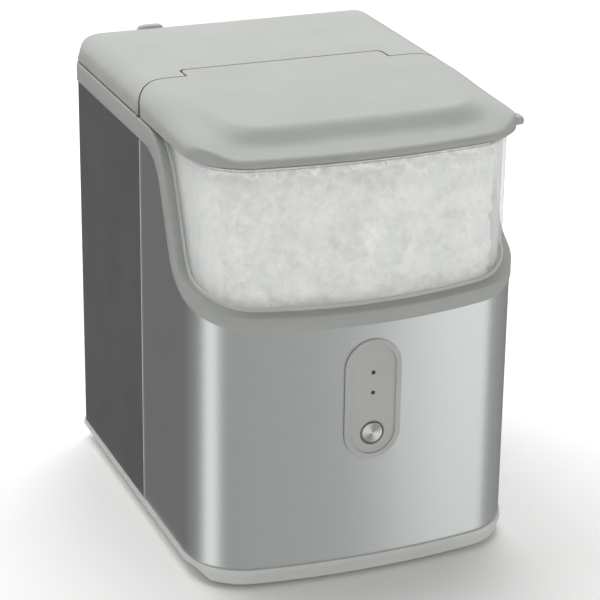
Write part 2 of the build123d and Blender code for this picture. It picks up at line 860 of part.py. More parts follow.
cap_foot = back + flange_depth + 0.2
cap_end = back + flange_depth + spigot_length + 1.8
with BuildPart() as drain_cap:
    with BuildSketch(Plane.XZ.offset(-cap_foot)):
        with Locations((drain_x, drain_z)):
            Circle(spigot_radius + wall)
    extrude(amount=cap_foot - cap_end)
    fillet(drain_cap.faces().sort_by(Axis.Y)[-1].edges(), 1.5)
    with BuildSketch(Plane.XZ.offset(-cap_foot)):
        with Locations((drain_x, drain_z)):
            Circle(spigot_radius + running_fit)
    extrude(amount=-spigot_length, mode=Mode.SUBTRACT)
save(drain_cap.part, "drain_cap")

# ---- freezing tower -----------------------------------------------------------------------------------
tower = Plane(origin=(tower_x, tower_y, 0))

with BuildPart() as freezing_cylinder:
    with BuildSketch(tower.offset(cylinder_z)):
        Circle(bore_radius + cylinder_wall)
        Circle(bore_radius, mode=Mode.SUBTRACT)
    extrude(amount=cylinder_height)
    with BuildSketch(tower.offset(cylinder_z)):
        Circle(bore_radius + cylinder_wall)
        Circle(auger_shaft + running_fit, mode=Mode.SUBTRACT)
    extrude(amount=4)
save(freezing_cylinder.part, "freezing_cylinder")

coil_radius = bore_radius + cylinder_wall + coil_wire + 0.05
coil_turns = 9
coil_pitch = 8.0
with BuildPart() as evaporator_coil:
    with BuildSketch(Plane(origin=(tower_x + coil_radius, tower_y, 0), x_dir=(1, 0, 0), z_dir=(0, -1, 0))):
        with Locations(*[(0, cylinder_z + 26 + turn * coil_pitch) for turn in range(coil_turns)]):
            Circle(coil_wire)
    revolve(axis=Axis((tower_x, tower_y, 0), (0, 0, 1)))
save(evaporator_coil.part, "evaporator_coil")

foam_inner = coil_radius + coil_wire + 0.4
with BuildPart() as insulation:
    with BuildSketch(tower.offset(cylinder_z + 20)):
        Circle(foam_inner + foam_thickness)
        Circle(foam_inner, mode=Mode.SUBTRACT)
    extrude(amount=cylinder_height - 22)
save(insulation.part, "insulation")

flight_radius = bore_radius - flight_gap
with BuildPart() as auger:
    with BuildSketch(tower.offset(motor_z + motor_height - 12)):
        Circle(auger_shaft)
    extrude(amount=cylinder_z + cylinder_height - 4 - (motor_z + motor_height - 12))
    with BuildLine(Plane(origin=(tower_x, tower_y, cylinder_z + 8))):
        flight_path = Helix(
            pitch=24, height=cylinder_height - 20, radius=(flight_radius + auger_shaft - 1) / 2
        )
    with BuildSketch(Plane(origin=flight_path @ 0, x_dir=(1, 0, 0), z_dir=flight_path % 0)):
        Rectangle(flight_radius - auger_shaft + 1, 2.4)
    sweep(path=flight_path, is_frenet=True)
save(auger.part, "auger")

with BuildPart() as extruder_head:
    with BuildSketch(tower.offset(head_z)):
        Circle(bore_radius + cylinder_wall + 6)
        with PolarLocations(bore_radius - 8, 6):
            Circle(4.2, mode=Mode.SUBTRACT)
    extrude(amount=head_height)
    chamfer(extruder_head.faces().sort_by(Axis.Z)[-1].outer_wire().edges(), 2)
save(extruder_head.part, "extruder_head")

chute_back = tower_y + bore_radius + cylinder_wall + 6
with BuildPart() as ice_chute:
    with BuildSketch(Plane.XZ.offset(-chute_back)):
        with Locations((tower_x, chute_z + chute_height / 2)):
            Rectangle(chute_width, chute_height)
    extrude(amount=chute_back - divider_y)
    with BuildSketch(Plane.XZ.offset(-chute_back + wall)):
        with Locations((tower_x, chute_z + chute_height / 2)):
            Rectangle(chute_width - 2 * wall, chute_height - 2 * wall)
    extrude(amount=beyond, mode=Mode.SUBTRACT)
    with BuildSketch(tower.offset(chute_z)):
        Circle(bore_radius)
    extrude(amount=wall, mode=Mode.SUBTRACT)
save(ice_chute.part, "ice_chute")

with BuildPart() as gear_motor:
    with BuildSketch(tower.offset(motor_z)):
        RectangleRounded(motor_size, motor_size, 6)
    extrude(amount=motor_height)
    with BuildSketch(tower.offset(motor_z + motor_height)):
        Circle(auger_shaft + running_fit)
    extrude(amount=-14, mode=Mode.SUBTRACT)
    with BuildSketch(tower.offset(motor_z - nose_height)):
        Circle(nose_radius)
    extrude(amount=nose_height)
save(gear_motor.part, "gear_motor")

with BuildPart() as tower_bracket:
    with BuildSketch(tower.offset(floor_top)):
        with Locations((-bracket_half, 0), (bracket_half, 0)):
            Rectangle(2, 40)
    extrude(amount=motor_z - floor_top)
    with BuildSketch(tower.offset(motor_z - 2)):
        Rectangle(2 * bracket_half, 40)
        Circle(nose_radius + 0.2, mode=Mode.SUBTRACT)
    extrude(amount=2)
save(tower_bracket.part, "tower_bracket")

# ---- compressor --------------------------------------------------------------------------------------
mount_places = [
    (compressor_x + dx * mount_spread, compressor_y + dy * mount_spread)
    for dx in (-1, 1)
    for dy in (-1, 1)
]
plate_z = floor_top + mount_height
with BuildPart() as compressor_mounts:
    with BuildSketch(Plane.XY.offset(floor_top)):
        with Locations(*mount_places):
            Circle(8)
    extrude(amount=mount_height)
save(compressor_mounts.part, "compressor_mounts")

with BuildPart() as compressor:
    with BuildSketch(Plane.XY.offset(plate_z)):
        with Locations((compressor_x, compressor_y)):
            RectangleRounded(2 * mount_spread + 20, 2 * mount_spread + 20, 10)
    extrude(amount=3)
    with BuildSketch(Plane.XY.offset(plate_z + 3)):
        with Locations((compressor_x, compressor_y)):
            Circle(compressor_radius)
    extrude(amount=compressor_height)
    fillet(compressor.faces().sort_by(Axis.Z)[-1].edges(), 22)
    with BuildSketch(Plane.XY.offset(plate_z + 3 + compressor_height / 2)):
        with Locations((compressor_x, compressor_y)):
            Circle(compressor_radius + 2)
    extrude(amount=3)
save(compressor.part, "compressor")

# ---- condenser and fan --------------------------------------------------------------------------------
fin_half = (fin_count - 1) * fin_pitch / 2
fin_y = back - wall - 6 - fin_depth / 2
rows = [fin_y - row_half, fin_y + row_half]
levels = [fan_z + (level - (tube_levels - 1) / 2) * level_pitch for level in range(tube_levels)]
tube_places = [(y, z) for y in rows for z in levels]
with BuildPart() as fin:
    with BuildSketch(Plane.YZ):
        with Locations((fin_y, fan_z)):
            Rectangle(fin_depth, fin_height)
        with Locations(*tube_places):
            Circle(tube_radius, mode=Mode.SUBTRACT)
    extrude(amount=fin_thickness)

with BuildPart() as condenser_fins:
    with Locations(*[(fan_x - fin_half + index * fin_pitch, 0, 0) for index in range(fin_count)]):
        add(fin.part)
save(condenser_fins.part, "condenser_fins")

bend_x = fin_half + 5
with BuildPart() as condenser_tubes:
    with BuildSketch(Plane.YZ.offset(fan_x - bend_x)):
        with Locations(*tube_places):
            Circle(tube_radius)
    extrude(amount=2 * bend_x)
    for step in range(tube_levels - 1):
        end_x = fan_x + (bend_x if step % 2 else -bend_x)
        with BuildSketch(Plane.XY.offset(levels[step])):
            with Locations(*[(end_x, y) for y in rows]):
                Circle(tube_radius)
        extrude(amount=level_pitch)
    for end_x, z in ((fan_x + bend_x, levels[0]), (fan_x - bend_x, levels[-1])):
        with BuildSketch(Plane.XZ.offset(-rows[0])):
            with Locations((end_x, z)):
                Circle(tube_radius)
        extrude(amount=-2 * row_half)
save(condenser_tubes.part, "condenser_tubes")

shroud_back = fin_y - fin_depth / 2 - 1
shroud_front = shroud_back - shroud_depth
with BuildPart() as fan_shroud:
    with BuildSketch(Plane.XZ.offset(-shroud_back)):
        with Locations((fan_x, fan_z)):
            Rectangle(fin_height, fin_height)
            Circle(fan_radius + 1.5, mode=Mode.SUBTRACT)
    extrude(amount=shroud_depth)
save(fan_shroud.part, "fan_shroud")

with BuildPart() as fan_motor:
    with BuildSketch(Plane.XZ.offset(-shroud_front)):
        with Locations((fan_x, fan_z)):
            Circle(17)
    extrude(amount=22)
    with BuildSketch(Plane.XZ.offset(-shroud_front)):
        with Locations((fan_x, fan_z)):
            Rectangle(fin_height, 9)
            Rectangle(9, fin_height)
    extrude(amount=2)
    with BuildSketch(Plane.XZ.offset(-shroud_front)):
        with Locations((fan_x, fan_z)):
            Circle(fan_shaft)
    extrude(amount=-shroud_depth / 2)
save(fan_motor.part, "fan_motor")

with BuildPart() as blade:
    with BuildSketch(Plane.XY.offset(13)):
        Rectangle(22, 1.4, rotation=24)
    extrude(amount=fan_radius)

with BuildPart() as fan_blades:
    with BuildSketch(Plane.XZ.offset(-shroud_back + 1)):
        with Locations((fan_x, fan_z)):
            Circle(15)
    extrude(amount=shroud_depth - 2)
    with Locations((fan_x, (shroud_front + shroud_back) / 2, fan_z)):
        for turn in range(blade_count):
            add(blade.part.rotate(Axis.Y, turn * 360 / blade_count))
    with BuildSketch(Plane.XZ.offset(-shroud_back)):
        with Locations((fan_x, fan_z)):
            Circle(fan_radius)
            Circle(fan_shaft + running_fit, mode=Mode.SUBTRACT)
    extrude(amount=shroud_depth, mode=Mode.INTERSECT)
save(fan_blades.part, "fan_blades")

# ---- refrigerant lines -------------------------------------------------------------------------------
drier_x = fan_x - bend_x
drier_z = levels[-1] + tube_radius
drier_neck = 15.0
drier_length = 54.0
drier_top = drier_z + drier_length + 2 * drier_neck
with BuildPart() as filter_drier:
    with BuildSketch(Plane.XY.offset(drier_z + drier_neck)):
        with Locations((drier_x, rows[-1])):
            Circle(9)
    extrude(amount=drier_length)
    fillet(filter_drier.edges().filter_by(GeomType.CIRCLE), 5)
    with BuildSketch(Plane.XY.offset(drier_z)):
        with Locations((drier_x, rows[-1])):
            Circle(tube_radius - 0.5)
    extrude(amount=drier_top - drier_z)
save(filter_drier.part, "filter_drier")

foam_radius = foam_inner + foam_thickness
pipe(
    "capillary_tube",
    [
        (drier_x, rows[-1], drier_top),
        (drier_x, rows[-1], drier_top + 40),
        (drier_x, tower_y, drier_top + 40),
        (tower_x - foam_radius, tower_y, drier_top + 40),
    ],
    [12.0, 12.0],
    capillary_radius,
)

dome_z = plate_z + 3 + compressor_height
line_z = cylinder_z + 45
pipe(
    "suction_line",
    [
        (tower_x + foam_radius, tower_y, line_z),
        (compressor_x, tower_y, line_z),
        (compressor_x, tower_y, dome_z),
    ],
    [20.0],
    pipe_radius,
)

discharge_x = compressor_x + 18
discharge_z = dome_z + 20
riser_x = fan_x + bend_x + 7.5
pipe(
    "discharge_line",
    [
        (discharge_x, compressor_y, dome_z),
        (discharge_x, compressor_y, discharge_z),
        (discharge_x, rows[-1], discharge_z),
        (riser_x, rows[-1], discharge_z),
        (riser_x, rows[-1], levels[0]),
        (fan_x + bend_x + tube_radius, rows[-1], levels[0]),
    ],
    [9.0, 12.0, 12.0, 3.5],
    tube_radius,
)

# ---- electronics ---------------------------------------------------------------------------------------
tray_y = front + 68
tray_width = 190.0
tray_depth = 78.0
standoff = 5.0
board_size = (88.0, 66.0)
board_places = {"main_board": -46.0, "power_supply": 46.0}
with BuildPart() as electronics_tray:
    with BuildSketch(Plane.XY.offset(floor_top)):
        with Locations((0, tray_y)):
            Rectangle(tray_width, tray_depth)
    extrude(amount=1)
    with BuildSketch(Plane.XY.offset(floor_top)):
        with Locations((0, tray_y)):
            Rectangle(tray_width, tray_depth)
            Rectangle(tray_width - 2, tray_depth - 2, mode=Mode.SUBTRACT)
    extrude(amount=8)
    with BuildSketch(Plane.XY.offset(floor_top + 1)):
        for x in board_places.values():
            with Locations((x, tray_y)):
                with GridLocations(board_size[0] - 8, board_size[1] - 8, 2, 2):
                    Circle(3)
    extrude(amount=standoff)
save(electronics_tray.part, "electronics_tray")

board_z = floor_top + 1 + standoff
# Each board carries blocks, as (x, y, length, width, height) from the board's middle.
board_blocks = {
    "main_board": [(-26, 16, 20, 16, 18), (0, 16, 20, 16, 18), (24, -4, 18, 18, 4), (-20, -20, 30, 8, 10)],
    "power_supply": [(-18, 0, 34, 30, 28), (18, 12, 14, 24, 22), (20, -20, 26, 10, 12)],
}
for name, x in board_places.items():
    with BuildPart() as board:
        with BuildSketch(Plane.XY.offset(board_z)):
            with Locations((x, tray_y)):
                Rectangle(*board_size)
        extrude(amount=board_thickness)
        for dx, dy, length, across, tall in board_blocks[name]:
            with BuildSketch(Plane.XY.offset(board_z + board_thickness)):
                with Locations((x + dx, tray_y + dy)):
                    Rectangle(length, across)
            extrude(amount=tall)
    save(board.part, name)

with BuildPart() as cord_gland:
    with BuildSketch(Plane.XZ.offset(-back - 3)):
        with Locations((gland_x, gland_z)):
            Circle(12)
            Circle(3.6, mode=Mode.SUBTRACT)
    extrude(amount=3)
    with BuildSketch(Plane.XZ.offset(-back)):
        with Locations((gland_x, gland_z)):
            Circle(8)
            Circle(3.6, mode=Mode.SUBTRACT)
    extrude(amount=wall + 4)
save(cord_gland.part, "cord_gland")
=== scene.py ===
# %% [markdown]
# # A countertop nugget ice maker
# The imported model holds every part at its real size, in metres, with the front towards -Y and the
# floor at z = 0. This file gives it its looks. Parts whose CAD shape is already right get a
# material; the lid, the rear cover, the trim band and the ice get new surfaces.

# %% Load the frame
import json
import math

import bmesh
import bpy
import numpy as np
from mathutils import Matrix, Vector


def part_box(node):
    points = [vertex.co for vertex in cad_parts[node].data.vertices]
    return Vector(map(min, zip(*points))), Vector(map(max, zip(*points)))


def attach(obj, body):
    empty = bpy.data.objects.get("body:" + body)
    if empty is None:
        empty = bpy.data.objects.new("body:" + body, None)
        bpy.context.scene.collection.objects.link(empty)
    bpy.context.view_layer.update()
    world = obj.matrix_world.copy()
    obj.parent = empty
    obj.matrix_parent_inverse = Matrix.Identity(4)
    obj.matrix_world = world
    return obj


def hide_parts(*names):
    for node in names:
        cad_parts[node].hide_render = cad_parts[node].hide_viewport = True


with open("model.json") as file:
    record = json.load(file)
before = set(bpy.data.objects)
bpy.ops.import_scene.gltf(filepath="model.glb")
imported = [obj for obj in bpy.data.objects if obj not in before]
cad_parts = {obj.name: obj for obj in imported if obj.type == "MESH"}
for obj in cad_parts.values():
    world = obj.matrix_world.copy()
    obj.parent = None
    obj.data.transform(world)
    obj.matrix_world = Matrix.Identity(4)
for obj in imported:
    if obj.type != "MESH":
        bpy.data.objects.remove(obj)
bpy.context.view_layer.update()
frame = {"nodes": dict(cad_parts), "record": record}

MM = 0.001
nodes = frame["nodes"]

# %% [markdown]
# ## Camera and studio
# The object stands on a pale sweep under a large soft light from above and behind, with a weak one
# in front. Brushed steel shows its surroundings as upright bands, so a low softbox on the left
# gives it a bright band on the corner, and a wide one on the right lights that end of the front.
# The floor is left out of mirror reflections, because steel beside a white floor would only look
# white, and a graded room takes its place.

# %% Camera
azimuth, elevation, roll = (math.radians(angle) for angle in (-21.93, 21.9, 0.76))
target = Vector((-0.0461, -0.1266, 0.2251))
CAMERA_DISTANCE, LENS_MM = 1.8, 141.7
back_axis = Vector(
    (
        math.sin(azimuth) * math.cos(elevation),
        -math.cos(azimuth) * math.cos(elevation),
        math.sin(elevation),
    )
)
level = Vector((math.cos(azimuth), math.sin(azimuth), 0))
upright = back_axis.cross(level)
right_axis = level * math.cos(roll) + upright * math.sin(roll)
up_axis = upright * math.cos(roll) - level * math.sin(roll)
camera_data = bpy.data.cameras.new("camera")
camera_data.sensor_width = 36.0
camera_data.lens = LENS_MM
camera_data.clip_end = 50
camera = bpy.data.objects.new("camera", camera_data)
bpy.context.scene.collection.objects.link(camera)
turn = Matrix((right_axis, up_axis, back_axis)).transposed()
camera.matrix_world = Matrix.Translation(target + back_axis * CAMERA_DISTANCE) @ turn.to_4x4()
bpy.context.scene.camera = camera
print("camera at", [round(value, 3) for value in camera.matrix_world.translation])


# %% Nodes and colours
def linear(hex_code, alpha=1.0):
    """An sRGB hex colour as linear numbers: (c + 0.055) / 1.055 to the power 2.4, or c / 12.92."""
    channels = np.array([int(hex_code[i : i + 2], 16) for i in (1, 3, 5)]) / 255
    values = np.where(channels > 0.04045, ((channels + 0.055) / 1.055) ** 2.4, channels / 12.92)
    return (*values.tolist(), alpha)


def add_node(tree, kind, settings=None, inputs=None):
    """Add one shader node. An input given as an output socket is linked, anything else is set."""
    node = tree.nodes.new(kind)
    for name, value in (settings or {}).items():
        setattr(node, name, value)
    for name, value in (inputs or {}).items():
        if isinstance(value, bpy.types.NodeSocket):
            tree.links.new(value, node.inputs[name])
        else:
            node.inputs[name].default_value = value
    return node


def ramp(tree, factor, stops):
    """A colour ramp with (position, colour) stops. Returns its colour output."""
    node = add_node(tree, "ShaderNodeValToRGB", inputs={"Fac": factor})
    elements = node.color_ramp.elements
    for index, (position, colour) in enumerate(stops):
        element = elements[index] if index < 2 else elements.new(position)
        element.position = position
        element.color = colour
    return node.outputs["Color"]


def grey(value):
    """A neutral linear colour."""
    return (value, value, value, 1.0)


# %% World and floor
scene = bpy.context.scene
scene.view_settings.view_transform = "Standard"
world = bpy.data.worlds.new("studio")
world.use_nodes = True
scene.world = world
world.node_tree.nodes.clear()
sky = world.node_tree
ray = add_node(sky, "ShaderNodeLightPath")
direction = add_node(sky, "ShaderNodeTexCoord").outputs["Generated"]
split = add_node(sky, "ShaderNodeSeparateXYZ", inputs={"Vector": direction})


def share_of(axis):
    """A direction's part along an axis, from 0 at one end to 1 at the other."""
    return add_node(
        sky,
        "ShaderNodeMapRange",
        inputs={"Value": split.outputs[axis], "From Min": -1.0, "From Max": 1.0},
    ).outputs[0]


wall_light = ramp(
    sky, share_of("Z"), [(0.5, grey(0.5)), (0.56, grey(0.8)), (0.68, grey(0.7)), (0.84, grey(0.15))]
)
table_light = ramp(
    sky, share_of("Y"), [(0.05, grey(0.5)), (0.35, grey(0.46)), (0.6, grey(0.42)), (0.9, grey(0.2))]
)
above = add_node(
    sky, "ShaderNodeMath", {"operation": "GREATER_THAN"}, {0: split.outputs["Z"], 1: 0.0}
).outputs[0]
mirrored = add_node(
    sky, "ShaderNodeMix", {"data_type": "RGBA"}, {"Factor": above, 6: table_light, 7: wall_light}
).outputs[2]
room = add_node(
    sky, "ShaderNodeBackground", inputs={"Color": linear("#FBFBF8"), "Strength": 0.4}
)
mirror_room = add_node(sky, "ShaderNodeBackground", inputs={"Color": mirrored, "Strength": 1.0})
paper = add_node(sky, "ShaderNodeBackground", inputs={"Color": grey(1.0), "Strength": 1.0})
lit = add_node(
    sky,
    "ShaderNodeMixShader",
    inputs={0: ray.outputs["Is Glossy Ray"], 1: room.outputs[0], 2: mirror_room.outputs[0]},
)
mixed = add_node(
    sky,
    "ShaderNodeMixShader",
    inputs={0: ray.outputs["Is Camera Ray"], 1: lit.outputs[0], 2: paper.outputs[0]},
)
add_node(sky, "ShaderNodeOutputWorld", inputs={"Surface": mixed.outputs[0]})

floor_mesh = bpy.data.meshes.new("floor")
reach = 14.0
floor_mesh.from_pydata(
    [(-reach, -reach, 0), (reach, -reach, 0), (reach, reach, 0), (-reach, reach, 0)],
    [],
    [(0, 1, 2, 3)],
)
floor = bpy.data.objects.new("floor", floor_mesh)
scene.collection.objects.link(floor)
floor_paper = bpy.data.materials.new("white_studio_paper")
floor_paper.use_nodes = True
paper_shader = floor_paper.node_tree.nodes["Principled BSDF"]
paper_shader.inputs["Base Color"].default_value = linear("#FAFAFA")
paper_shader.inputs["Roughness"].default_value = 0.9
paper_shader.inputs["Specular IOR Level"].default_value = 0.1
floor_mesh.materials.append(floor_paper)
floor.visible_glossy = False


def softbox(name, place, aim, size, power, tint="#FFFFFF"):
    """A rectangular softbox at place, in metres, whose light points at aim."""
    data = bpy.data.lights.new(name, "AREA")
    data.shape = "RECTANGLE"
    data.size, data.size_y = size
    data.energy = power
    data.color = linear(tint)[:3]
    lamp = bpy.data.objects.new(name, data)
    lamp.location = place
    away = Vector(place) - Vector(aim)
    lamp.rotation_euler = away.to_track_quat("Z", "Y").to_euler()
    scene.collection.objects.link(lamp)
    return lamp


middle = (0, 0, 0.2)
softbox("overhead", (0.0, 0.95, 2.05), middle, (2.6, 2.0), 59).visible_glossy = False
softbox("front_top", (-0.5, -2.3, 1.5), middle, (1.8, 0.8), 5)
softbox("left_strip", (-2.0, -0.45, -0.6), middle, (1.0, 2.6), 8)
softbox("right_wide", (1.7, -1.75, 0.1), middle, (1.5, 3.0), 12)
print("studio ready")

# %% [markdown]
# ## Shared measures
# The plan of the casing is a bowed front, two round corners and straight sides. Every wall that
# follows it is this outline moved inwards, so one function gives them all.

# %% The outline
FRONT, BACK, SIDE = -164 * MM, 164 * MM, 135 * MM
BOW, CORNER, REAR = 605 * MM, 50 * MM, 10 * MM
CORNER_X = SIDE - CORNER
CORNER_Y = FRONT + BOW - math.sqrt((BOW - CORNER) ** 2 - CORNER_X**2)
BOW_ANGLE = math.asin(CORNER_X / (BOW - CORNER))
TOP, LID_BASE, LIP_TOP = 366 * MM, 345.5 * MM, 347.5 * MM


def half_outline(bow_steps, corner_steps, side_stops, rear_steps=0, end_steps=0):
    """Centre x, centre y, radius and heading of points along half the outline, from the middle of
    the front: the bow turns about a far centre, the corner about a near one, and along a straight
    side the centre slides back. Heading 0 faces the front and a quarter turn faces the side."""
    quarter = math.pi / 2
    bow = np.linspace(0, BOW_ANGLE, bow_steps, endpoint=False)
    corner = np.linspace(BOW_ANGLE, quarter, corner_steps, endpoint=False)
    slide = np.asarray(side_stops, float)
    rear = np.linspace(quarter, 2 * quarter, rear_steps + 1)[1:] if rear_steps else np.empty(0)
    end = np.linspace(SIDE - REAR, 0, end_steps + 1)[1:] if end_steps else np.empty(0)
    parts = (
        (np.zeros_like(bow), np.full_like(bow, FRONT + BOW), np.full_like(bow, BOW), bow),
        (
            np.full_like(corner, CORNER_X),
            np.full_like(corner, CORNER_Y),
            np.full_like(corner, CORNER),
            corner,
        ),
        (
            np.full_like(slide, CORNER_X),
            slide,
            np.full_like(slide, CORNER),
            np.full_like(slide, quarter),
        ),
        (
            np.full_like(rear, SIDE - REAR),
            np.full_like(rear, BACK - REAR),
            np.full_like(rear, REAR),
            rear,
        ),
        (end, np.full_like(end, BACK - REAR), np.full_like(end, REAR), np.full_like(end, math.pi)),
    )
    return np.concatenate([np.array(part) for part in parts], axis=1)


def whole_outline(half):
    """Both halves as one run, from the left end round the front to the right end: the left half is
    the right one with its x and heading changed in sign."""
    left = half[:, :0:-1] * np.array([[-1], [1], [1], [-1]])
    return np.concatenate([left, half], axis=1)


def outline_points(run, inset):
    """Points of the outline moved inwards: centre plus (radius - inset) along the heading. Past a
    rear corner's own radius the corner is sharp and slides inwards along the diagonal."""
    x, y, radius, heading = run
    inset = np.asarray(inset, float)
    spare = np.maximum(inset - REAR, 0)
    rear = radius < 2 * REAR
    limit_x = SIDE - REAR - spare
    x = np.where(rear, np.clip(x, -limit_x, limit_x), x)
    y = np.where(radius < BOW, np.minimum(y, BACK - REAR - spare), y)
    length = np.where(rear, np.maximum(radius - inset, 0), radius - inset)
    return x + length * np.sin(heading), y - length * np.cos(heading)


def edge_distance(x, y):
    """How far a point lies inside the outline: the least of its distances to the sides, the back
    and the bow, or to a corner's arc where it lies in that corner."""
    across = np.abs(x)
    sides = np.minimum(SIDE - across, BACK - y)
    bow = BOW - np.hypot(x, y - (FRONT + BOW))
    dx, dy = across - CORNER_X, CORNER_Y - y
    in_corner = (dx > 0) & (np.arctan2(dx, dy) > BOW_ANGLE) & (dy > 0)
    near = np.where(in_corner, CORNER - np.hypot(dx, dy), np.minimum(sides, bow))
    rx, ry = across - (SIDE - REAR), y - (BACK - REAR)
    in_rear = (rx > 0) & (ry > 0)
    return np.where(in_rear, REAR - np.hypot(rx, ry), near)


print("corner centre", round(CORNER_X, 4), round(CORNER_Y, 4))


# %% [markdown]
# ## Putting a surface into Blender
# A surface is a grid of points, rows by columns. The helper turns it into quads, closes it on
# itself where asked, merges the points that coincide at poles and seams, and smooths it.

# %% Mesh helpers
def make_piece(name, points, faces, body, material, replaced=(), smooth_angle=35):
    """One mesh object at the origin from an array of points and a list of face corner indices."""
    mesh = bpy.data.meshes.new(name)
    mesh.from_pydata(np.asarray(points).reshape(-1, 3).tolist(), [], np.asarray(faces).tolist())
    work = bmesh.new()
    work.from_mesh(mesh)
    bmesh.ops.remove_doubles(work, verts=work.verts, dist=2e-6)
    bmesh.ops.dissolve_degenerate(work, edges=work.edges, dist=1e-6)
    bmesh.ops.recalc_face_normals(work, faces=work.faces)
    work.to_mesh(mesh)
    work.free()
    mesh.shade_smooth()
    mesh.set_sharp_from_angle(angle=math.radians(smooth_angle))
    mesh.materials.append(material)
    piece = bpy.data.objects.new(name, mesh)
    scene.collection.objects.link(piece)
    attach(piece, body)
    if replaced:
        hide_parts(*replaced)
    print(name, len(mesh.vertices), "points,", len(mesh.polygons), "faces")
    return piece


def grid_faces(rows, columns, wrap_rows=False, wrap_columns=False, start=0):
    """Corner indices of the quads of a grid: each point with its right, upper right and upper
    neighbours, with the last row or column joined to the first where it wraps."""
    i = np.arange(rows if wrap_rows else rows - 1)[:, None]
    j = np.arange(columns if wrap_columns else columns - 1)[None, :]
    a = i * columns + j
    b = i * columns + (j + 1) % columns
    c = (i + 1) % rows * columns + (j + 1) % columns
    d = (i + 1) % rows * columns + j
    return np.stack([a, b, c, d], axis=-1).reshape(-1, 4) + start


# %% [markdown]
# ## Finishes
# The shell is ABS, injection moulded in a light grey with a fine satin grain. The wrap is brushed
# stainless steel. The bin and the window are clear moulded plastic, and the rear sides are a
# painted dark grey. Each finish starts from what the real one is, but a few carry painted light:
# the base pan's lighter grey, the button ring's dark grey, the window seal's pale grey, the seam
# strip and the cap's fan of shine.

# %% Material start
materials = {}


def start_material(name):
    """A new material with its Principled shader and the piece's own coordinates."""
    material = bpy.data.materials.new(name)
    material.use_nodes = True
    tree = material.node_tree
    place = add_node(tree, "ShaderNodeTexCoord").outputs["Object"]
    materials[name] = material
    return material, tree, tree.nodes["Principled BSDF"], place


def set_shader(shader, **values):
    """Set constants on the shader's own sockets. Names are the socket's words joined by _."""
    for name, value in values.items():
        shader.inputs[name.replace("_", " ")].default_value = value


def noise(tree, place, size_mm, detail=3.0, roughness=0.5, stretch=None):
    """Noise whose features are size_mm wide, stretched along an axis where stretch is given."""
    if stretch:
        place = add_node(
            tree, "ShaderNodeMapping", inputs={"Vector": place, "Scale": stretch}
        ).outputs[0]
    return add_node(
        tree,
        "ShaderNodeTexNoise",
        inputs={
            "Vector": place,
            "Scale": 1000.0 / size_mm,
            "Detail": detail,
            "Roughness": roughness,
        },
    ).outputs["Fac"]


def add_bump(tree, shader, height, strength, depth_mm):
    """Bump from a height between 0 and 1, depth_mm deep."""
    bump = add_node(
        tree,
        "ShaderNodeBump",
        inputs={"Height": height, "Strength": strength, "Distance": depth_mm * MM},
    )
    tree.links.new(bump.outputs[0], shader.inputs["Normal"])


def two_tone(tree, factor, dark, light, low=0.35, high=0.65):
    """A colour that drifts between two hex values."""
    return ramp(tree, factor, [(low, linear(dark)), (high, linear(light))])


# %% Moulded plastics
def moulded_plastic(name, dark, light, rough, grain_mm=1.2, grain_depth=0.02, ior=1.5):
    """Injection-moulded ABS: an even colour with a faint drift over a few centimetres, and the fine
    grain of an etched mould. The real grain is 0.1 mm, drawn coarser so that it shows."""
    material, tree, shader, place = start_material(name)
    tree.links.new(two_tone(tree, noise(tree, place, 45), dark, light), shader.inputs["Base Color"])
    grain = noise(tree, place, grain_mm, detail=2)
    gloss = add_node(
        tree,
        "ShaderNodeMapRange",
        inputs={"Value": grain, "To Min": rough - 0.04, "To Max": rough + 0.04},
    )
    tree.links.new(gloss.outputs[0], shader.inputs["Roughness"])
    set_shader(shader, IOR=ior)
    add_bump(tree, shader, grain, 0.12, grain_depth)
    return material


moulded_plastic("light_grey_abs", "#A6A8A5", "#AAACA9", 0.36)
# Painted light: a lighter copy of the shell's grey for the base pan, standing in for light thrown
# up from the floor.
moulded_plastic("base_abs_painted_floor_bounce", "#D6D8D5", "#DBDDDA", 0.36)
# Painted shade: the button's ring takes the dark grey of the shaded groove round the button.
moulded_plastic("groove_abs_painted_shade", "#6A6D6B", "#727573", 0.4)
moulded_plastic("plate_abs", "#B6B8B5", "#BABCB9", 0.34)
moulded_plastic("silver_grey_abs", "#A9ACAB", "#AFB2B1", 0.4)
moulded_plastic("dark_grey_side", "#545454", "#5A5A5A", 0.45)
moulded_plastic("black_abs", "#1B1C1D", "#242627", 0.5)
# White plastic parts. The seam strip also uses this pale colour, and there it is a painted
# highlight.
moulded_plastic("white_abs_and_seam_highlight", "#DADDDC", "#E3E5E4", 0.4)
moulded_plastic("black_rubber", "#161616", "#1F1F1F", 0.75, grain_mm=0.8)
moulded_plastic("grey_rubber", "#85898A", "#8F9394", 0.65, grain_mm=0.8)
# Painted highlight: the window seal is an opaque pale grey so that it shows as the bright edge line
# at the window's foot.
moulded_plastic("pale_seal_painted_highlight", "#C6C9C7", "#D0D3D1", 0.35, grain_mm=0.8)
moulded_plastic("white_foam", "#D8D6CC", "#E4E2DA", 0.9, grain_mm=3, grain_depth=0.4)
moulded_plastic("dark_lens", "#2A2D2E", "#34383A", 0.2)
print(len(materials), "plastics")


# %% Metals
def brushed_metal(name, dark, light, rough, along, lines=0.06):
    """Brushed metal: fine scratches a hundred times longer than wide, which spread the highlight
    across themselves. The real lines are 0.05 mm apart, drawn 0.4 mm apart so that they show.
    along is how much the noise is squeezed on each axis: a small number runs along the brushing."""
    material, tree, shader, place = start_material(name)
    scratch = noise(tree, place, 0.4, detail=4, roughness=0.6, stretch=along)
    tree.links.new(two_tone(tree, scratch, dark, light, 0.2, 0.8), shader.inputs["Base Color"])
    gloss = add_node(
        tree,
        "ShaderNodeMapRange",
        inputs={"Value": scratch, "To Min": rough - lines, "To Max": rough + lines},
    )
    tree.links.new(gloss.outputs[0], shader.inputs["Roughness"])
    set_shader(shader, Metallic=1.0)
    add_bump(tree, shader, scratch, 0.08, 0.01)
    return material


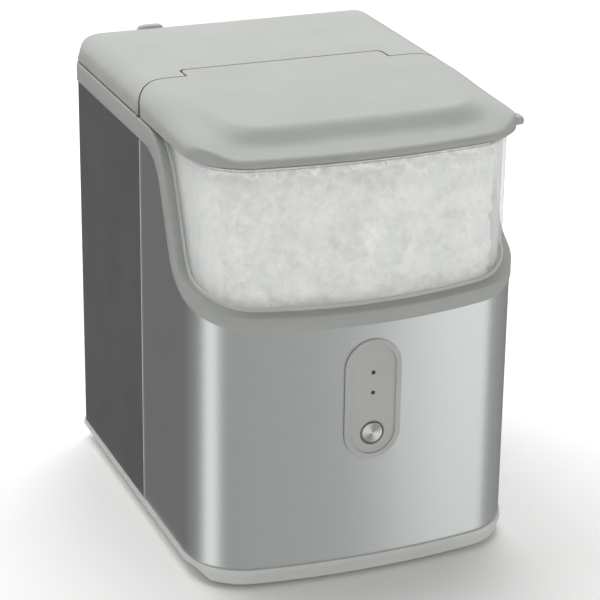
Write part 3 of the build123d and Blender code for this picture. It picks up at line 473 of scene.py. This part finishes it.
brushed_metal("brushed_stainless", "#C6C9C7", "#D1D4D2", 0.36, (0.01, 0.01, 1.0))
brushed_metal("bright_steel", "#C9CBCC", "#D6D8D9", 0.25, (0.05, 0.05, 1.0))
brushed_metal("zinc_plate", "#A9ACB0", "#BFC2C5", 0.4, (1.0, 1.0, 1.0))
brushed_metal("mill_aluminium", "#BFC2C4", "#D2D4D6", 0.38, (0.05, 1.0, 1.0))
brushed_metal("drawn_copper", "#B0623F", "#C87A52", 0.3, (1.0, 1.0, 0.05))


def spun_cap(name, centre):
    """A metal cap turned on a lathe, with rings of fine cuts about its middle. Its fan-shaped shine
    is a painted highlight: pale and dark sectors by angle about the centre, laid into the base
    colour. The rings are a bump, a wave over the distance from the centre, 0.35 mm apart."""
    material, tree, shader, place = start_material(name)
    shifted = add_node(
        tree,
        "ShaderNodeMapping",
        inputs={"Vector": place, "Location": [-value for value in centre]},
    ).outputs[0]
    split = add_node(tree, "ShaderNodeSeparateXYZ", inputs={"Vector": shifted})
    flat = add_node(
        tree,
        "ShaderNodeCombineXYZ",
        inputs={"X": split.outputs["X"], "Y": split.outputs["Z"]},
    ).outputs[0]
    length = add_node(
        tree, "ShaderNodeVectorMath", {"operation": "LENGTH"}, {0: flat}
    ).outputs["Value"]
    waves = add_node(
        tree, "ShaderNodeMath", {"operation": "MULTIPLY"}, {0: length, 1: 2 * math.pi / (0.35 * MM)}
    ).outputs[0]
    rings = add_node(tree, "ShaderNodeMath", {"operation": "SINE"}, {0: waves}).outputs[0]
    # Painted highlight: the angle about the centre, doubled, gives two pale and two dark sectors in
    # the base colour.
    angle = add_node(
        tree,
        "ShaderNodeMath",
        {"operation": "ARCTAN2"},
        {0: split.outputs["Z"], 1: split.outputs["X"]},
    ).outputs[0]
    double = add_node(
        tree, "ShaderNodeMath", {"operation": "MULTIPLY_ADD"}, {0: angle, 1: 2.0, 2: 1.1}
    ).outputs[0]
    fan = add_node(tree, "ShaderNodeMath", {"operation": "COSINE"}, {0: double}).outputs[0]
    painted_shine_colour = ramp(
        tree,
        add_node(
            tree, "ShaderNodeMath", {"operation": "MULTIPLY_ADD"}, {0: fan, 1: 0.5, 2: 0.5}
        ).outputs[0],
        [(0.1, linear("#A6A8A6")), (0.95, linear("#F0F0EE"))],
    )
    tree.links.new(painted_shine_colour, shader.inputs["Base Color"])
    set_shader(shader, Metallic=1.0, Roughness=0.28)
    add_bump(tree, shader, rings, 0.15, 0.01)
    return material


def black_enamel():
    """Black stoved enamel on a pressed steel shell: glossy, with the slight ripple of paint."""
    material, tree, shader, place = start_material("black_enamel")
    tree.links.new(
        two_tone(tree, noise(tree, place, 30), "#141516", "#1D1F20"), shader.inputs["Base Color"]
    )
    set_shader(shader, Roughness=0.25)
    add_bump(tree, shader, noise(tree, place, 6), 0.1, 0.05)


black_enamel()


# %% Clear plastics, board and ice
def clear_plastic(name, tint, least, most, rough=0.06):
    """Clear moulded plastic. A thin flat wall hardly bends what is behind it, so it is a film that
    lets most light straight through and covers more where it is seen edge-on, as real clear walls
    do. least and most are how much it covers, face on and edge-on."""
    material, tree, shader, place = start_material(name)
    drift = two_tone(tree, noise(tree, place, 25), tint, "#FFFFFF")
    tree.links.new(drift, shader.inputs["Base Color"])
    facing = add_node(tree, "ShaderNodeLayerWeight", inputs={"Blend": 0.35}).outputs["Facing"]
    cover = add_node(
        tree, "ShaderNodeMapRange", inputs={"Value": facing, "To Min": least, "To Max": most}
    )
    tree.links.new(cover.outputs[0], shader.inputs["Alpha"])
    set_shader(shader, Roughness=rough, IOR=1.49)
    return material


clear_plastic("clear_window", "#F2F6F6", 0.05, 0.55)
clear_plastic("clear_bin", "#F0F4F4", 0.05, 0.5)
clear_plastic("clear_hose", "#E6ECEC", 0.25, 0.8)


def circuit_board():
    """A green glass-fibre board with paler traces: a fine brick grid stands for the copper runs."""
    material, tree, shader, place = start_material("circuit_board")
    brick = add_node(
        tree,
        "ShaderNodeTexBrick",
        inputs={
            "Vector": place,
            "Scale": 120.0,
            "Mortar Size": 0.03,
            "Color1": linear("#1F5B36"),
            "Color2": linear("#276B41"),
            "Mortar": linear("#5E9A6B"),
        },
    )
    tree.links.new(brick.outputs["Color"], shader.inputs["Base Color"])
    set_shader(shader, Roughness=0.35)


circuit_board()


def nugget_ice():
    """Chewy nugget ice: flakes pressed together, full of air, so it is white with glassy wet spots.
    Light passes a few millimetres into it, which the subsurface setting gives. The faint emission
    is painted light: a glow that stands in for light passing through the heap."""
    material, tree, shader, place = start_material("nugget_ice")
    cloud = noise(tree, place, 14, detail=6, roughness=0.65)
    tones = [(0.32, linear("#DCDDDA")), (0.5, linear("#F2F3F0")), (0.66, linear("#FFFFFC"))]
    colour = ramp(tree, cloud, tones)
    tree.links.new(colour, shader.inputs["Base Color"])
    wet = noise(tree, place, 7, detail=2)
    gloss = add_node(
        tree,
        "ShaderNodeMapRange",
        inputs={"Value": wet, "From Min": 0.35, "From Max": 0.65, "To Min": 0.12, "To Max": 0.55},
    )
    tree.links.new(gloss.outputs[0], shader.inputs["Roughness"])
    # Painted light: the emission makes the ice glow, standing in for light that passes through the
    # heap from behind and the sides.
    set_shader(
        shader,
        IOR=1.31,
        Subsurface_Weight=0.3,
        Subsurface_Radius=(1.0, 1.0, 1.0),
        Subsurface_Scale=0.004,
        Emission_Color=linear("#F6F6F2"),
        Emission_Strength=0.27,
    )
    add_bump(tree, shader, noise(tree, place, 4.5, detail=5, roughness=0.7), 1.0, 1.6)


nugget_ice()
print(len(materials), "materials")

# %% [markdown]
# ## The top of the machine
# The lid and the rear cover share one form: a low vertical lip, a wide round edge, a gently rising
# apron and, on the lid, a raised flat middle with a soft step round it. The height of the top is
# therefore one function of the place in plan. The real parts are shells about 2.5 mm thick, so
# each skin is made once and a Solidify modifier gives it its wall.

# %% Height of the top
SIDE_ROUND, BACK_ROUND, LIP_ROUND = 23 * MM, 4 * MM, 4.5 * MM  # widths of the rounded edges
APRON_FOOT, APRON_SLOPE = 351.0 * MM, 0.19  # the apron's height at its edge, and its rise
PANEL_HALF, PANEL_FRONT, PANEL_CENTRE = 104.5 * MM, -129 * MM, 40 * MM
STEP_FOOT, STEP_HEAD = 19 * MM, 5.5 * MM  # how far the step reaches outside and inside its edge
FADE_START, FADE_END = -92 * MM, -17 * MM
SIDE_SHARE = 0.3  # how much of the front's form the sides keep


def smooth(t):
    """The smooth step 3t^2 - 2t^3, held at 0 and 1 outside its range."""
    t = np.clip(t, 0, 1)
    return t * t * (3 - 2 * t)


def panel_inside(x, y):
    """Distance inside the raised middle, whose edge is an eighth-power oval: the eighth root of
    (x/a)^8 + (y/b)^8 is 1 on it, and it runs straight on behind its centre. The distance is what
    the root lacks of 1, over the root's slope."""
    across, ahead = np.abs(x) / PANEL_HALF, np.maximum(PANEL_CENTRE - y, 0)
    reach_y = PANEL_CENTRE - PANEL_FRONT
    along = ahead / reach_y
    root = np.maximum(across**8 + along**8, 1e-9) ** 0.125
    slope = np.hypot(across**7 / PANEL_HALF, along**7 / reach_y) / root**7
    return (1 - root) / np.maximum(slope, 4.0)


def crown(inside, width, power=2.2):
    """An edge's rise from 0 to 1: a superellipse over the given width."""
    edge = np.clip(inside / width, 0, 1)
    return (1 - (1 - edge) ** power) ** (1 / power)


def plain_height(x, y):
    """Height of the cover: wide round sides and a tighter round back edge, up to a flat top. Where
    both edges act, their shortfalls add as a cube root of cubes."""
    inside = np.maximum(edge_distance(x, y), 0)
    side = 1 - crown(np.minimum(SIDE - np.abs(x), SIDE_ROUND), SIDE_ROUND)
    back = 1 - crown(inside, BACK_ROUND)
    return TOP - (TOP - LIP_TOP) * np.minimum((side**3 + back**3) ** (1 / 3), 1)


def lid_height(x, y):
    """Height of the lid. From its edge inwards: a small round lip, an apron that rises at an even
    slope, and a step that is steepest where it meets the raised middle. At the sides it is mostly
    the cover's plain form, and towards the seam it fades into that, so that the two meet."""
    inside = np.maximum(edge_distance(x, y), 0)
    apron = APRON_FOOT + APRON_SLOPE * np.minimum(inside, 40 * MM)
    step = smooth((panel_inside(x, y) + STEP_FOOT) / (STEP_FOOT + STEP_HEAD)) ** 1.5
    front = apron + (TOP - apron) * step
    front = LIP_TOP + (front - LIP_TOP) * crown(inside, LIP_ROUND)
    fade = smooth((y - FADE_START) / (FADE_END - FADE_START))
    across = (np.abs(x) / PANEL_HALF) ** 6
    along = (np.maximum(PANEL_CENTRE - y, 0) / (PANEL_CENTRE - PANEL_FRONT)) ** 6
    ahead = along / np.maximum(along + across, 1e-9)
    share = (1 - fade) * (SIDE_SHARE + (1 - SIDE_SHARE) * smooth(ahead * 1.5))
    return front * share + plain_height(x, y) * (1 - share)


probe_y = np.array([-164, -160, -150, -140, -130, -100]) * MM
print("front section, mm:", np.round(lid_height(np.zeros(6), probe_y) / MM, 2))

# %% [markdown]
# ## Lid
# The lid's back corners are rounded, and a tongue between them reaches back to the hinge. The skin
# is drawn as rings that shrink from its outline towards one point in the middle. The rings are
# close together near the edge, where the form bends most.

# %% Lid outline
SHOULDER_Y, SHOULDER_R = 17 * MM, 34 * MM
TONGUE_BACK, TONGUE_HALF, TONGUE_R = 34.5 * MM, 86 * MM, 5 * MM
SWING_GAP = 1.6 * MM


def seam_half(grow, steps=1.0):
    """Right half of the line between lid and cover, from the side to the middle of the hinge: the
    shoulder's arc, straight in to the tongue, back along it, round its corner and across."""
    count = lambda n: max(int(n * steps), 3)
    radius = SHOULDER_R + grow
    centre = np.array([SIDE - SHOULDER_R, SHOULDER_Y - SHOULDER_R])
    turn_by = np.linspace(0, 1, count(40)) ** 1.6 * (math.pi / 2)
    arc = centre[:, None] + radius * np.stack([np.cos(turn_by), np.sin(turn_by)])
    tongue_x, tongue_y = TONGUE_HALF + grow, TONGUE_BACK + grow
    inner = np.stack(
        [
            np.linspace(centre[0], tongue_x, count(8) + 1)[1:],
            np.full(count(8), SHOULDER_Y + grow),
        ]
    )
    side = np.stack(
        [
            np.full(count(8), tongue_x),
            np.linspace(SHOULDER_Y + grow, tongue_y - TONGUE_R, count(8) + 1)[1:],
        ]
    )
    bend = np.linspace(0, math.pi / 2, count(6) + 1)[1:]
    corner = np.stack(
        [
            tongue_x - TONGUE_R + TONGUE_R * np.cos(bend),
            tongue_y - TONGUE_R + TONGUE_R * np.sin(bend),
        ]
    )
    across = np.stack(
        [
            np.linspace(tongue_x - TONGUE_R, 0, count(26) + 1)[1:],
            np.full(count(26), tongue_y),
        ]
    )
    return np.concatenate([arc, inner, side, corner, across], axis=1)


side_run = np.linspace(CORNER_Y, SHOULDER_Y - SHOULDER_R, 14, endpoint=False)
front_run = whole_outline(half_outline(34, 40, side_run))
front_x, front_y = outline_points(front_run, 0.0)
seam = seam_half(0.0)
lid_x = np.concatenate([front_x, seam[0], -seam[0, -2::-1]])
lid_y = np.concatenate([front_y, seam[1], seam[1, -2::-1]])

# %% Lid skin
WALL = 2.4 * MM
SKIRT, CHAMFER = 7 * MM, 0.6 * MM  # the rim's drop at the seam, and its small lower bevel
LID_TUCK, COVER_TUCK = 0.5 / 130, 0.0035  # how far the bevels turn in, as shares of the plan
rings = 96
shrink = (np.linspace(0, 1, rings) ** 1.8)[:, None]
heart = np.array([0.0, -55 * MM])
skin_x = lid_x[None, :] * (1 - shrink) + heart[0] * shrink
skin_y = lid_y[None, :] * (1 - shrink) + heart[1] * shrink
skin_z = lid_height(skin_x, skin_y)
rim_z = skin_z[0]
on_casing = edge_distance(lid_x, lid_y) < 0.3 * MM
seam_drop = np.maximum(rim_z - SKIRT, LID_BASE + CHAMFER)
drop_to = np.where(on_casing, LID_BASE + CHAMFER, seam_drop)
below = np.stack([lid_x, lid_y, drop_to], axis=-1)
lip = np.stack(
    [lid_x * (1 - LID_TUCK), lid_y * (1 - LID_TUCK), drop_to - CHAMFER], axis=-1
)
mid = np.stack([lid_x, lid_y, (drop_to + rim_z) / 2], axis=-1)
top_rings = np.stack([skin_x, skin_y, skin_z], axis=-1)
lid_points = np.concatenate([lip[None], below[None], mid[None], top_rings])
lid_faces = grid_faces(*lid_points.shape[:2], wrap_columns=True)
lid_piece = make_piece(
    "lid_shell",
    lid_points,
    lid_faces,
    "lid_body",
    materials["light_grey_abs"],
    replaced=("lid",),
)


def give_wall(piece, thickness):
    """Make a skin into a shell of even thickness, inwards from its outside."""
    shell = piece.modifiers.new("wall", "SOLIDIFY")
    shell.thickness = thickness
    shell.offset = -1
    shell.use_even_offset = False


give_wall(lid_piece, WALL)

# %% [markdown]
# ## Rear cover
# The cover fills the top behind the lid. Its skin is ruled between the seam and the outline: each
# line starts on the seam and ends on the casing's edge.

# %% Cover skin
cover_seam = seam_half(SWING_GAP)
inside_edge = edge_distance(cover_seam[0], cover_seam[1]) > 0
cover_seam = cover_seam[:, inside_edge]
start_y = (SHOULDER_Y - SHOULDER_R) + math.sqrt(
    max((SHOULDER_R + SWING_GAP) ** 2 - SHOULDER_R**2, 0)
)
dense = half_outline(1, 1, np.linspace(start_y, BACK - REAR, 40), 16, 40)[:, 2:]
cover_edge = np.array(outline_points(dense, 0.0))
cover_seam = np.concatenate([[[SIDE], [start_y]], cover_seam], axis=1)


def length_shares(line):
    """How far along the line each point lies: the running sum of its steps over their total."""
    steps = np.hypot(*np.diff(line, axis=1))
    return np.concatenate([[0], np.cumsum(steps)]) / steps.sum()


def points_at(line, shares):
    """Points on a line at the given shares of its length, by straight interpolation."""
    return np.stack([np.interp(shares, length_shares(line), axis) for axis in line])


shares = np.concatenate([length_shares(cover_edge), length_shares(cover_seam)])
shares = np.unique(np.round(shares, 6))
ruled_seam, ruled_edge = points_at(cover_seam, shares), points_at(cover_edge, shares)
ruled_seam = np.concatenate([ruled_seam, ruled_seam[:, -2::-1] * [[-1], [1]]], axis=1)
ruled_edge = np.concatenate([ruled_edge, ruled_edge[:, -2::-1] * [[-1], [1]]], axis=1)
across = (1 - np.linspace(1, 0, 70) ** 2.0)[:, None]
cover_x = ruled_edge[0] * (1 - across) + ruled_seam[0] * across
cover_y = ruled_edge[1] * (1 - across) + ruled_seam[1] * across
cover_z = plain_height(cover_x, cover_y)
level = np.ones_like(ruled_edge[0])
outer_low = np.stack([*ruled_edge, level * (LID_BASE + CHAMFER)], axis=-1)
outer_tuck = np.stack([*(ruled_edge * (1 - COVER_TUCK)), level * LID_BASE], axis=-1)
seam_low = np.maximum(cover_z[-1] - SKIRT, LID_BASE + CHAMFER)
inner_low = np.stack([*ruled_seam, seam_low], axis=-1)
cover_rings = np.stack([cover_x, cover_y, cover_z], axis=-1)
cover_points = np.concatenate([outer_tuck[None], outer_low[None], cover_rings, inner_low[None]])
cover_piece = make_piece(
    "rear_cover",
    cover_points,
    grid_faces(*cover_points.shape[:2]),
    "casing",
    materials["light_grey_abs"],
    replaced=("top_cover",),
)
give_wall(cover_piece, WALL)

# %% [markdown]
# ## Lift tab
# A small rounded tab on the right of the lid gives a finger something to lift. It is a flat
# rounded slab: rings of a superellipse, pulled in towards the top and the bottom.

# %% Tab
around = np.linspace(0, 2 * math.pi, 48, endpoint=False)
tab_centre = np.array([132.5 * MM, -119 * MM])
tab_half = np.array([7.0 * MM, 8.0 * MM])


def super_ring(power):
    """x and y of a superellipse: sign times the cosine or sine to the power 2 / power."""
    c, s = np.cos(around), np.sin(around)
    return np.sign(c) * np.abs(c) ** (2 / power), np.sign(s) * np.abs(s) ** (2 / power)


def rounded_slab(centre, half, levels, widths, ring):
    """Rings of a superellipse stacked at levels, each widened by its own share of the half size."""
    spread = widths[:, None]
    return np.stack(
        [
            centre[0] + half[0] * spread * ring[0],
            centre[1] + half[1] * spread * ring[1],
            np.broadcast_to(levels[:, None], (len(levels), len(around))),
        ],
        axis=-1,
    )


TAB_FOOT = 345.6 * MM
tab_levels = np.array([0.0, 0.0, 0.25, 1.0, 2.5, 4.6, 5.6, 6.0, 6.0]) * MM
tab_width = np.array([1e-4, 0.86, 0.94, 1.0, 1.0, 0.96, 0.86, 0.7, 1e-4])
tab_ring = super_ring(3.4)
tab_points = rounded_slab(tab_centre, tab_half, TAB_FOOT + tab_levels, tab_width, tab_ring)
make_piece(
    "lift_tab",
    tab_points,
    grid_faces(*tab_points.shape[:2], wrap_columns=True),
    "lid_body",
    materials["light_grey_abs"],
    smooth_angle=60,
)

# %% [markdown]
# ## Trim band
# A broad light grey band runs level across the front and climbs in an S along each side to the
# back. Its section is a plain upright wall with softly rounded outer edges and a flat ledge on top
# that the window stands behind. The section is carried round the casing, and its upper and lower
# edges follow two S-shaped lines that depend only on the distance from the front.

# %% The S lines
def rounded_steps(y, corners, radii):
    """Height at y of a line of straight runs with rounded corners. At a corner between slopes the
    arc is tangent to both runs: its centre sits on their bisector, and the height is the centre's
    plus or minus the root of r^2 - (y - centre)^2. Elsewhere the runs are straight."""
    corners = np.array(corners)
    height = np.interp(-y, -corners[:, 0], corners[:, 1])
    for index, radius in enumerate(radii, start=1):
        before = corners[index - 1] - corners[index]
        after = corners[index + 1] - corners[index]
        before, after = before / np.hypot(*before), after / np.hypot(*after)
        half = math.acos(np.clip(before @ after, -1, 1)) / 2
        bisector = (before + after) / np.hypot(*(before + after))
        centre = corners[index] + bisector * radius / math.sin(half)
        reach = radius / math.tan(half)
        ends = np.sort([(corners[index] + before * reach)[0], (corners[index] + after * reach)[0]])
        inside = (y > ends[0]) & (y < ends[1])
        arc = np.sqrt(np.maximum(radius**2 - (y - centre[0]) ** 2, 0))
        side_sign = -1.0 if bisector[1] > 0 else 1.0
        height = np.where(inside, centre[1] + side_sign * arc, height)
    return height


LOW_LINE = np.array([(400, 328.2), (-51, 328.2), (-88, 242.3), (-166, 213)]) * MM
SILL_LINE = np.array([(400, 344.3), (-61.4, 344.3), (-102, 249.7), (-166, 225)]) * MM


def trim_low(y):
    """The band's lower edge."""
    return rounded_steps(y, LOW_LINE, (40 * MM, 40 * MM))


def trim_sill(y):
    """The band's upper edge."""
    return rounded_steps(y, SILL_LINE, (50 * MM, 30 * MM))


check_y = np.array([-164, -120, -90, -75, -60, 0]) * MM
print("band low, mm:", np.round(trim_low(check_y) / MM, 1))
print("band high, mm:", np.round(trim_sill(check_y) / MM, 1))

# %% Band section
half = half_outline(30, 44, np.linspace(CORNER_Y, BACK - REAR, 150), 12, 26)
full = whole_outline(half)[:, :-1]
section_inset = np.array([-0.2, -0.75, -1.0, -1.0, -1.0, -0.75, -0.3, 0.6, 1.6, 9.5, 9.5, 9.5, 0.2])
section_low = np.array([0.0, 0.25, 0.9, 0, 0, 0, 0, 0, 0, 0, 0, 0.0, 0.0])
section_top = np.array([0, 0, 0, 0, -1.6, -0.75, -0.2, 0.0, 0.0, 0.0, -1.0, 0, 0])
from_low = np.array([1, 1, 1, 0.5, 0, 0, 0, 0, 0, 0, 0, 1, 1])
band = []
for inset, low, top, share in zip(section_inset, section_low, section_top, from_low):
    x, y = outline_points(full, inset * MM)
    bottom, upper = trim_low(y), trim_sill(y)
    band.append(np.stack([x, y, share * bottom + (1 - share) * upper + (low + top) * MM], axis=-1))
band = np.array(band)
make_piece(
    "trim_band",
    band,
    grid_faces(*band.shape[:2], wrap_rows=True, wrap_columns=True),
    "casing",
    materials["light_grey_abs"],
    replaced=("trim_frame",),
    smooth_angle=50,
)

# %% [markdown]
# ## Rear hump
# Behind the cover stands a small smooth hump that clips the drain hose. It is a rounded slab: a
# superellipse in plan that narrows towards its top.

# %% Hump
hump_centre = np.array([-68 * MM, 165.2 * MM])
hump_half = np.array([12.0 * MM, 4.6 * MM])
hump_levels = np.array([346.2, 346.2, 347, 356, 364.0, 366.4, 367.6, 368.0, 368.0]) * MM
hump_width = np.array([1e-4, 0.9, 1.0, 1.0, 0.97, 0.88, 0.74, 0.55, 1e-4])
hump_points = rounded_slab(hump_centre, hump_half, hump_levels, hump_width, tab_ring)
make_piece(
    "hose_hump",
    hump_points,
    grid_faces(*hump_points.shape[:2], wrap_columns=True),
    "casing",
    materials["light_grey_abs"],
    replaced=("hose_clip",),
    smooth_angle=70,
)

# %% [markdown]
# ## Ice
# The bin is full of crushed nuggets pressed against its clear walls, so from outside they read as
# one white mass with soft facets. The mass is a wall of points whose distance from the bin varies:
# every nugget is a small tilted dome, and the highest dome wins at each point, which leaves a
# crease where two of them meet. Loose nuggets lie on the top of the heap.

# %% Domes
rng = np.random.default_rng(11)


def domes(across, along, count, size, rise, tilt):
    """Height of overlapping domes at points in a plane, in metres: each dome is its own base
    height, plus a slope times the offset, minus the offset squared over twice its radius. The
    result is the highest of them all at each point."""
    low_a, high_a, low_b, high_b = across.min(), across.max(), along.min(), along.max()
    seeds = rng.uniform((low_a, low_b), (high_a, high_b), (count, 2)).astype(np.float32)
    base = rng.uniform(-rise, rise, count).astype(np.float32)
    slope = rng.uniform(-tilt, tilt, (count, 2)).astype(np.float32)
    best = np.full(across.size, -1e3, np.float32)
    flat_a, flat_b = across.ravel().astype(np.float32), along.ravel().astype(np.float32)
    for start in range(0, count, 60):
        part = slice(start, start + 60)
        da = flat_a[:, None] - seeds[part, 0]
        db = flat_b[:, None] - seeds[part, 1]
        value = base[part] + slope[part, 0] * da + slope[part, 1] * db
        value -= (da**2 + db**2) / (2 * size)
        best = np.maximum(best, value.max(1))
    return best.reshape(across.shape).astype(float)


def crushed(across, along, area):
    """Large domes with a layer of fine ones on them. area is in square metres."""
    large = domes(across, along, int(area / (9.0 * MM) ** 2), 6.5 * MM, 1.6 * MM, 0.5)
    fine = domes(across, along, int(area / (3.6 * MM) ** 2), 5 * MM, 0.35 * MM, 0.45)
    return large + fine


# %% Ice mass
ICE_LOW, ICE_HIGH, ICE_INSET = 217.5 * MM, 331 * MM, 13.1 * MM
ice_half = half_outline(92, 62, np.linspace(CORNER_Y, -30 * MM, 42))
ice_run = whole_outline(ice_half)
wall_x, wall_y = outline_points(ice_run, ICE_INSET)
walked = np.concatenate([[0], np.cumsum(np.hypot(np.diff(wall_x), np.diff(wall_y)))])
rise = np.linspace(ICE_LOW, ICE_HIGH, 76)
walk_grid, rise_grid = np.meshgrid(walked, rise)
relief = crushed(walk_grid, rise_grid, walked[-1] * (ICE_HIGH - ICE_LOW))
relief -= relief.max()
curl = np.maximum(rise_grid - (ICE_HIGH - 6 * MM), 0) ** 2 / (8 * MM)
ice_x, ice_y = outline_points(ice_run, ICE_INSET - relief + curl)
wall_ice = np.stack([ice_x, ice_y, rise_grid], axis=-1)
HEART_Y = -82 * MM
shares_in = (1 - np.linspace(0, 1, 34)[1:-1])[:, None]
top_x = wall_ice[-1, :, 0] * shares_in
top_y = (wall_ice[-1, :, 1] - HEART_Y) * shares_in + HEART_Y
swell = np.sin(top_x * 42) * np.cos(top_y * 60 + 1.3)
heap = ICE_HIGH + (1 - shares_in**4) * (2.0 * swell + 1.0) * MM
heap = heap + crushed(top_x, top_y, 0.24 * 0.11) * (1 - shares_in**6)
top_ice = np.stack([top_x, top_y, heap], axis=-1)
apex = np.broadcast_to(
    np.array([0, HEART_Y, float(heap[-1].mean())]), (1, top_ice.shape[1], 3)
)
bottom = np.broadcast_to(np.array([0, HEART_Y, ICE_LOW]), (1, top_ice.shape[1], 3))
mass = np.concatenate([bottom, wall_ice, top_ice, apex])
make_piece(
    "ice_mass",
    mass,
    grid_faces(*mass.shape[:2], wrap_columns=True),
    "casing",
    materials["nugget_ice"],
    smooth_angle=180,
)

# %% [markdown]
# Loose nuggets lie on the heap, about 12 mm across. Each is a small sphere of 70 points, scaled
# by its own three sizes, turned at random and roughened point by point.

# %% Loose nuggets
LUMP_ROWS, LUMP_COLUMNS = 7, 10
tilt = np.linspace(0, math.pi, LUMP_ROWS)[:, None]
spin = np.linspace(0, 2 * math.pi, LUMP_COLUMNS, endpoint=False)[None, :]
ball = np.stack(
    [
        np.sin(tilt) * np.cos(spin),
        np.sin(tilt) * np.sin(spin),
        np.broadcast_to(np.cos(tilt), (LUMP_ROWS, LUMP_COLUMNS)),
    ],
    axis=-1,
)
ball_faces = grid_faces(LUMP_ROWS, LUMP_COLUMNS, wrap_columns=True)


def scatter(places, size):
    """Copies of the ball at places, each with its own sizes, turn and roughness. The turn is by a
    random unit quaternion: v + 2 q x (q x v + w v). Points at a pole share one factor."""
    count = len(places)
    sizes = size * rng.uniform(0.72, 1.2, (count, 1, 1)) * rng.uniform(0.7, 1.2, (count, 1, 3))
    rough = 1 + rng.uniform(-0.2, 0.2, (count, LUMP_ROWS, LUMP_COLUMNS, 1))
    rough[:, (0, -1)] = rough[:, (0, -1), :1]
    shape = (ball[None] * rough).reshape(count, -1, 3) * sizes
    quaternion = rng.normal(size=(count, 4))
    quaternion /= np.linalg.norm(quaternion, axis=1, keepdims=True)
    w, v = quaternion[:, :1, None], quaternion[:, None, 1:]
    turned = shape + 2 * np.cross(v, np.cross(v, shape) + w * shape)
    faces = ball_faces[None] + np.arange(count)[:, None, None] * LUMP_ROWS * LUMP_COLUMNS
    return (turned + places[:, None, :]).reshape(-1, 3), faces.reshape(-1, 4)


LOOSE_COUNT = 460
loose_x = rng.uniform(-112, 112, LOOSE_COUNT) * MM
loose_y = rng.uniform(-142, -28, LOOSE_COUNT) * MM
loose_z = ICE_HIGH + rng.uniform(-1.5, 2.5, LOOSE_COUNT) * MM
loose = np.stack([loose_x, loose_y, loose_z], axis=1)[edge_distance(loose_x, loose_y) > 21 * MM]
lump_points, lump_faces = scatter(loose, 5.2 * MM)
make_piece(
    "ice_nuggets",
    lump_points,
    lump_faces,
    "casing",
    materials["nugget_ice"],
    smooth_angle=80,
)

# %% [markdown]
# ## Seam highlight
# Where the steel wrap ends on each side, its folded edge catches the light as a fine bright line.
# That highlight is painted: a pale half-round strip in the white plastic's colour follows the seam
# upwards.

# %% Seam highlight
SEAM_Y = -10 * MM
BEAD_ROWS, BEAD_COLUMNS = 4, 9
bead_angle = np.linspace(0, math.pi, BEAD_COLUMNS)
# Painted highlight: the pale strip stands in for the light that the steel's folded edge catches.
for hand, name in ((-1, "seam_highlight_left"), (1, "seam_highlight_right")):
    bead_y = SEAM_Y - 0.85 * MM + 0.75 * MM * np.cos(bead_angle)
    bead_x = hand * (SIDE - 0.1 * MM + 0.8 * MM * np.sin(bead_angle))
    bead_z = np.linspace(17.3 * MM, 327.8 * MM, BEAD_ROWS)[:, None]
    bead = np.stack(np.broadcast_arrays(bead_x, bead_y, bead_z), axis=-1)
    centre = bead.mean(axis=1, keepdims=True)
    ends = centre.repeat(BEAD_COLUMNS, 1)
    closed = np.concatenate([ends[:1], bead, ends[-1:]])
    make_piece(
        name,
        closed,
        grid_faces(*closed.shape[:2], wrap_columns=True),
        "casing",
        materials["white_abs_and_seam_highlight"],
        smooth_angle=60,
    )

# %% [markdown]
# ## Finishes for the parts that keep their CAD shape
# The record names a material slot for every part. One table turns slots into finishes, so parts of
# the same stuff look the same. The button's cap is turned on a lathe, so it has its own, whose fan
# of shine is a painted highlight.

# %% Assign the finishes
button_low, button_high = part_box("push_button")
spun_cap("spun_steel_cap", (button_low + button_high) / 2)
FINISH = {
    "light_plastic": "light_grey_abs",
    "foot_rubber": "black_rubber",
    "brushed_steel": "brushed_stainless",
    "dark_side": "dark_grey_side",
    "black_plastic": "black_abs",
    "zinc_screw": "zinc_plate",
    "clear_window": "clear_window",
    "black_rubber": "black_rubber",
    "white_plastic": "white_abs_and_seam_highlight",
    "grey_rubber": "grey_rubber",
    "bright_steel": "bright_steel",
    "silver_plastic": "silver_grey_abs",
    "lamp_lens": "dark_lens",
    "brushed_steel_cap": "spun_steel_cap",
    "circuit_board": "circuit_board",
    "clear_basket": "clear_bin",
    "clear_hose": "clear_hose",
    "copper": "drawn_copper",
    "foam": "white_foam",
    "zinc_housing": "zinc_plate",
    "black_enamel": "black_enamel",
    "fin_aluminium": "mill_aluminium",
}
OWN_FINISH = {
    # Painted highlight: the seal's pale grey stands in for the bright edge of the window.
    "window_seal": "pale_seal_painted_highlight",
    # Painted light: the base pan is lightened as a painted floor bounce.
    "base_pan": "base_abs_painted_floor_bounce",
    # Painted shade: the ring's dark grey stands in for the groove's shade.
    "button_ring": "groove_abs_painted_shade",
    "control_plate": "plate_abs",
    "control_bezel": "plate_abs",
}
for part in frame["record"]["subparts"]:
    mesh = nodes[part["node"]].data
    mesh.materials.clear()
    finish = OWN_FINISH.get(part["node"], FINISH[part["material_slot"]])
    mesh.materials.append(materials[finish])
print("finishes given to", len(nodes), "parts")
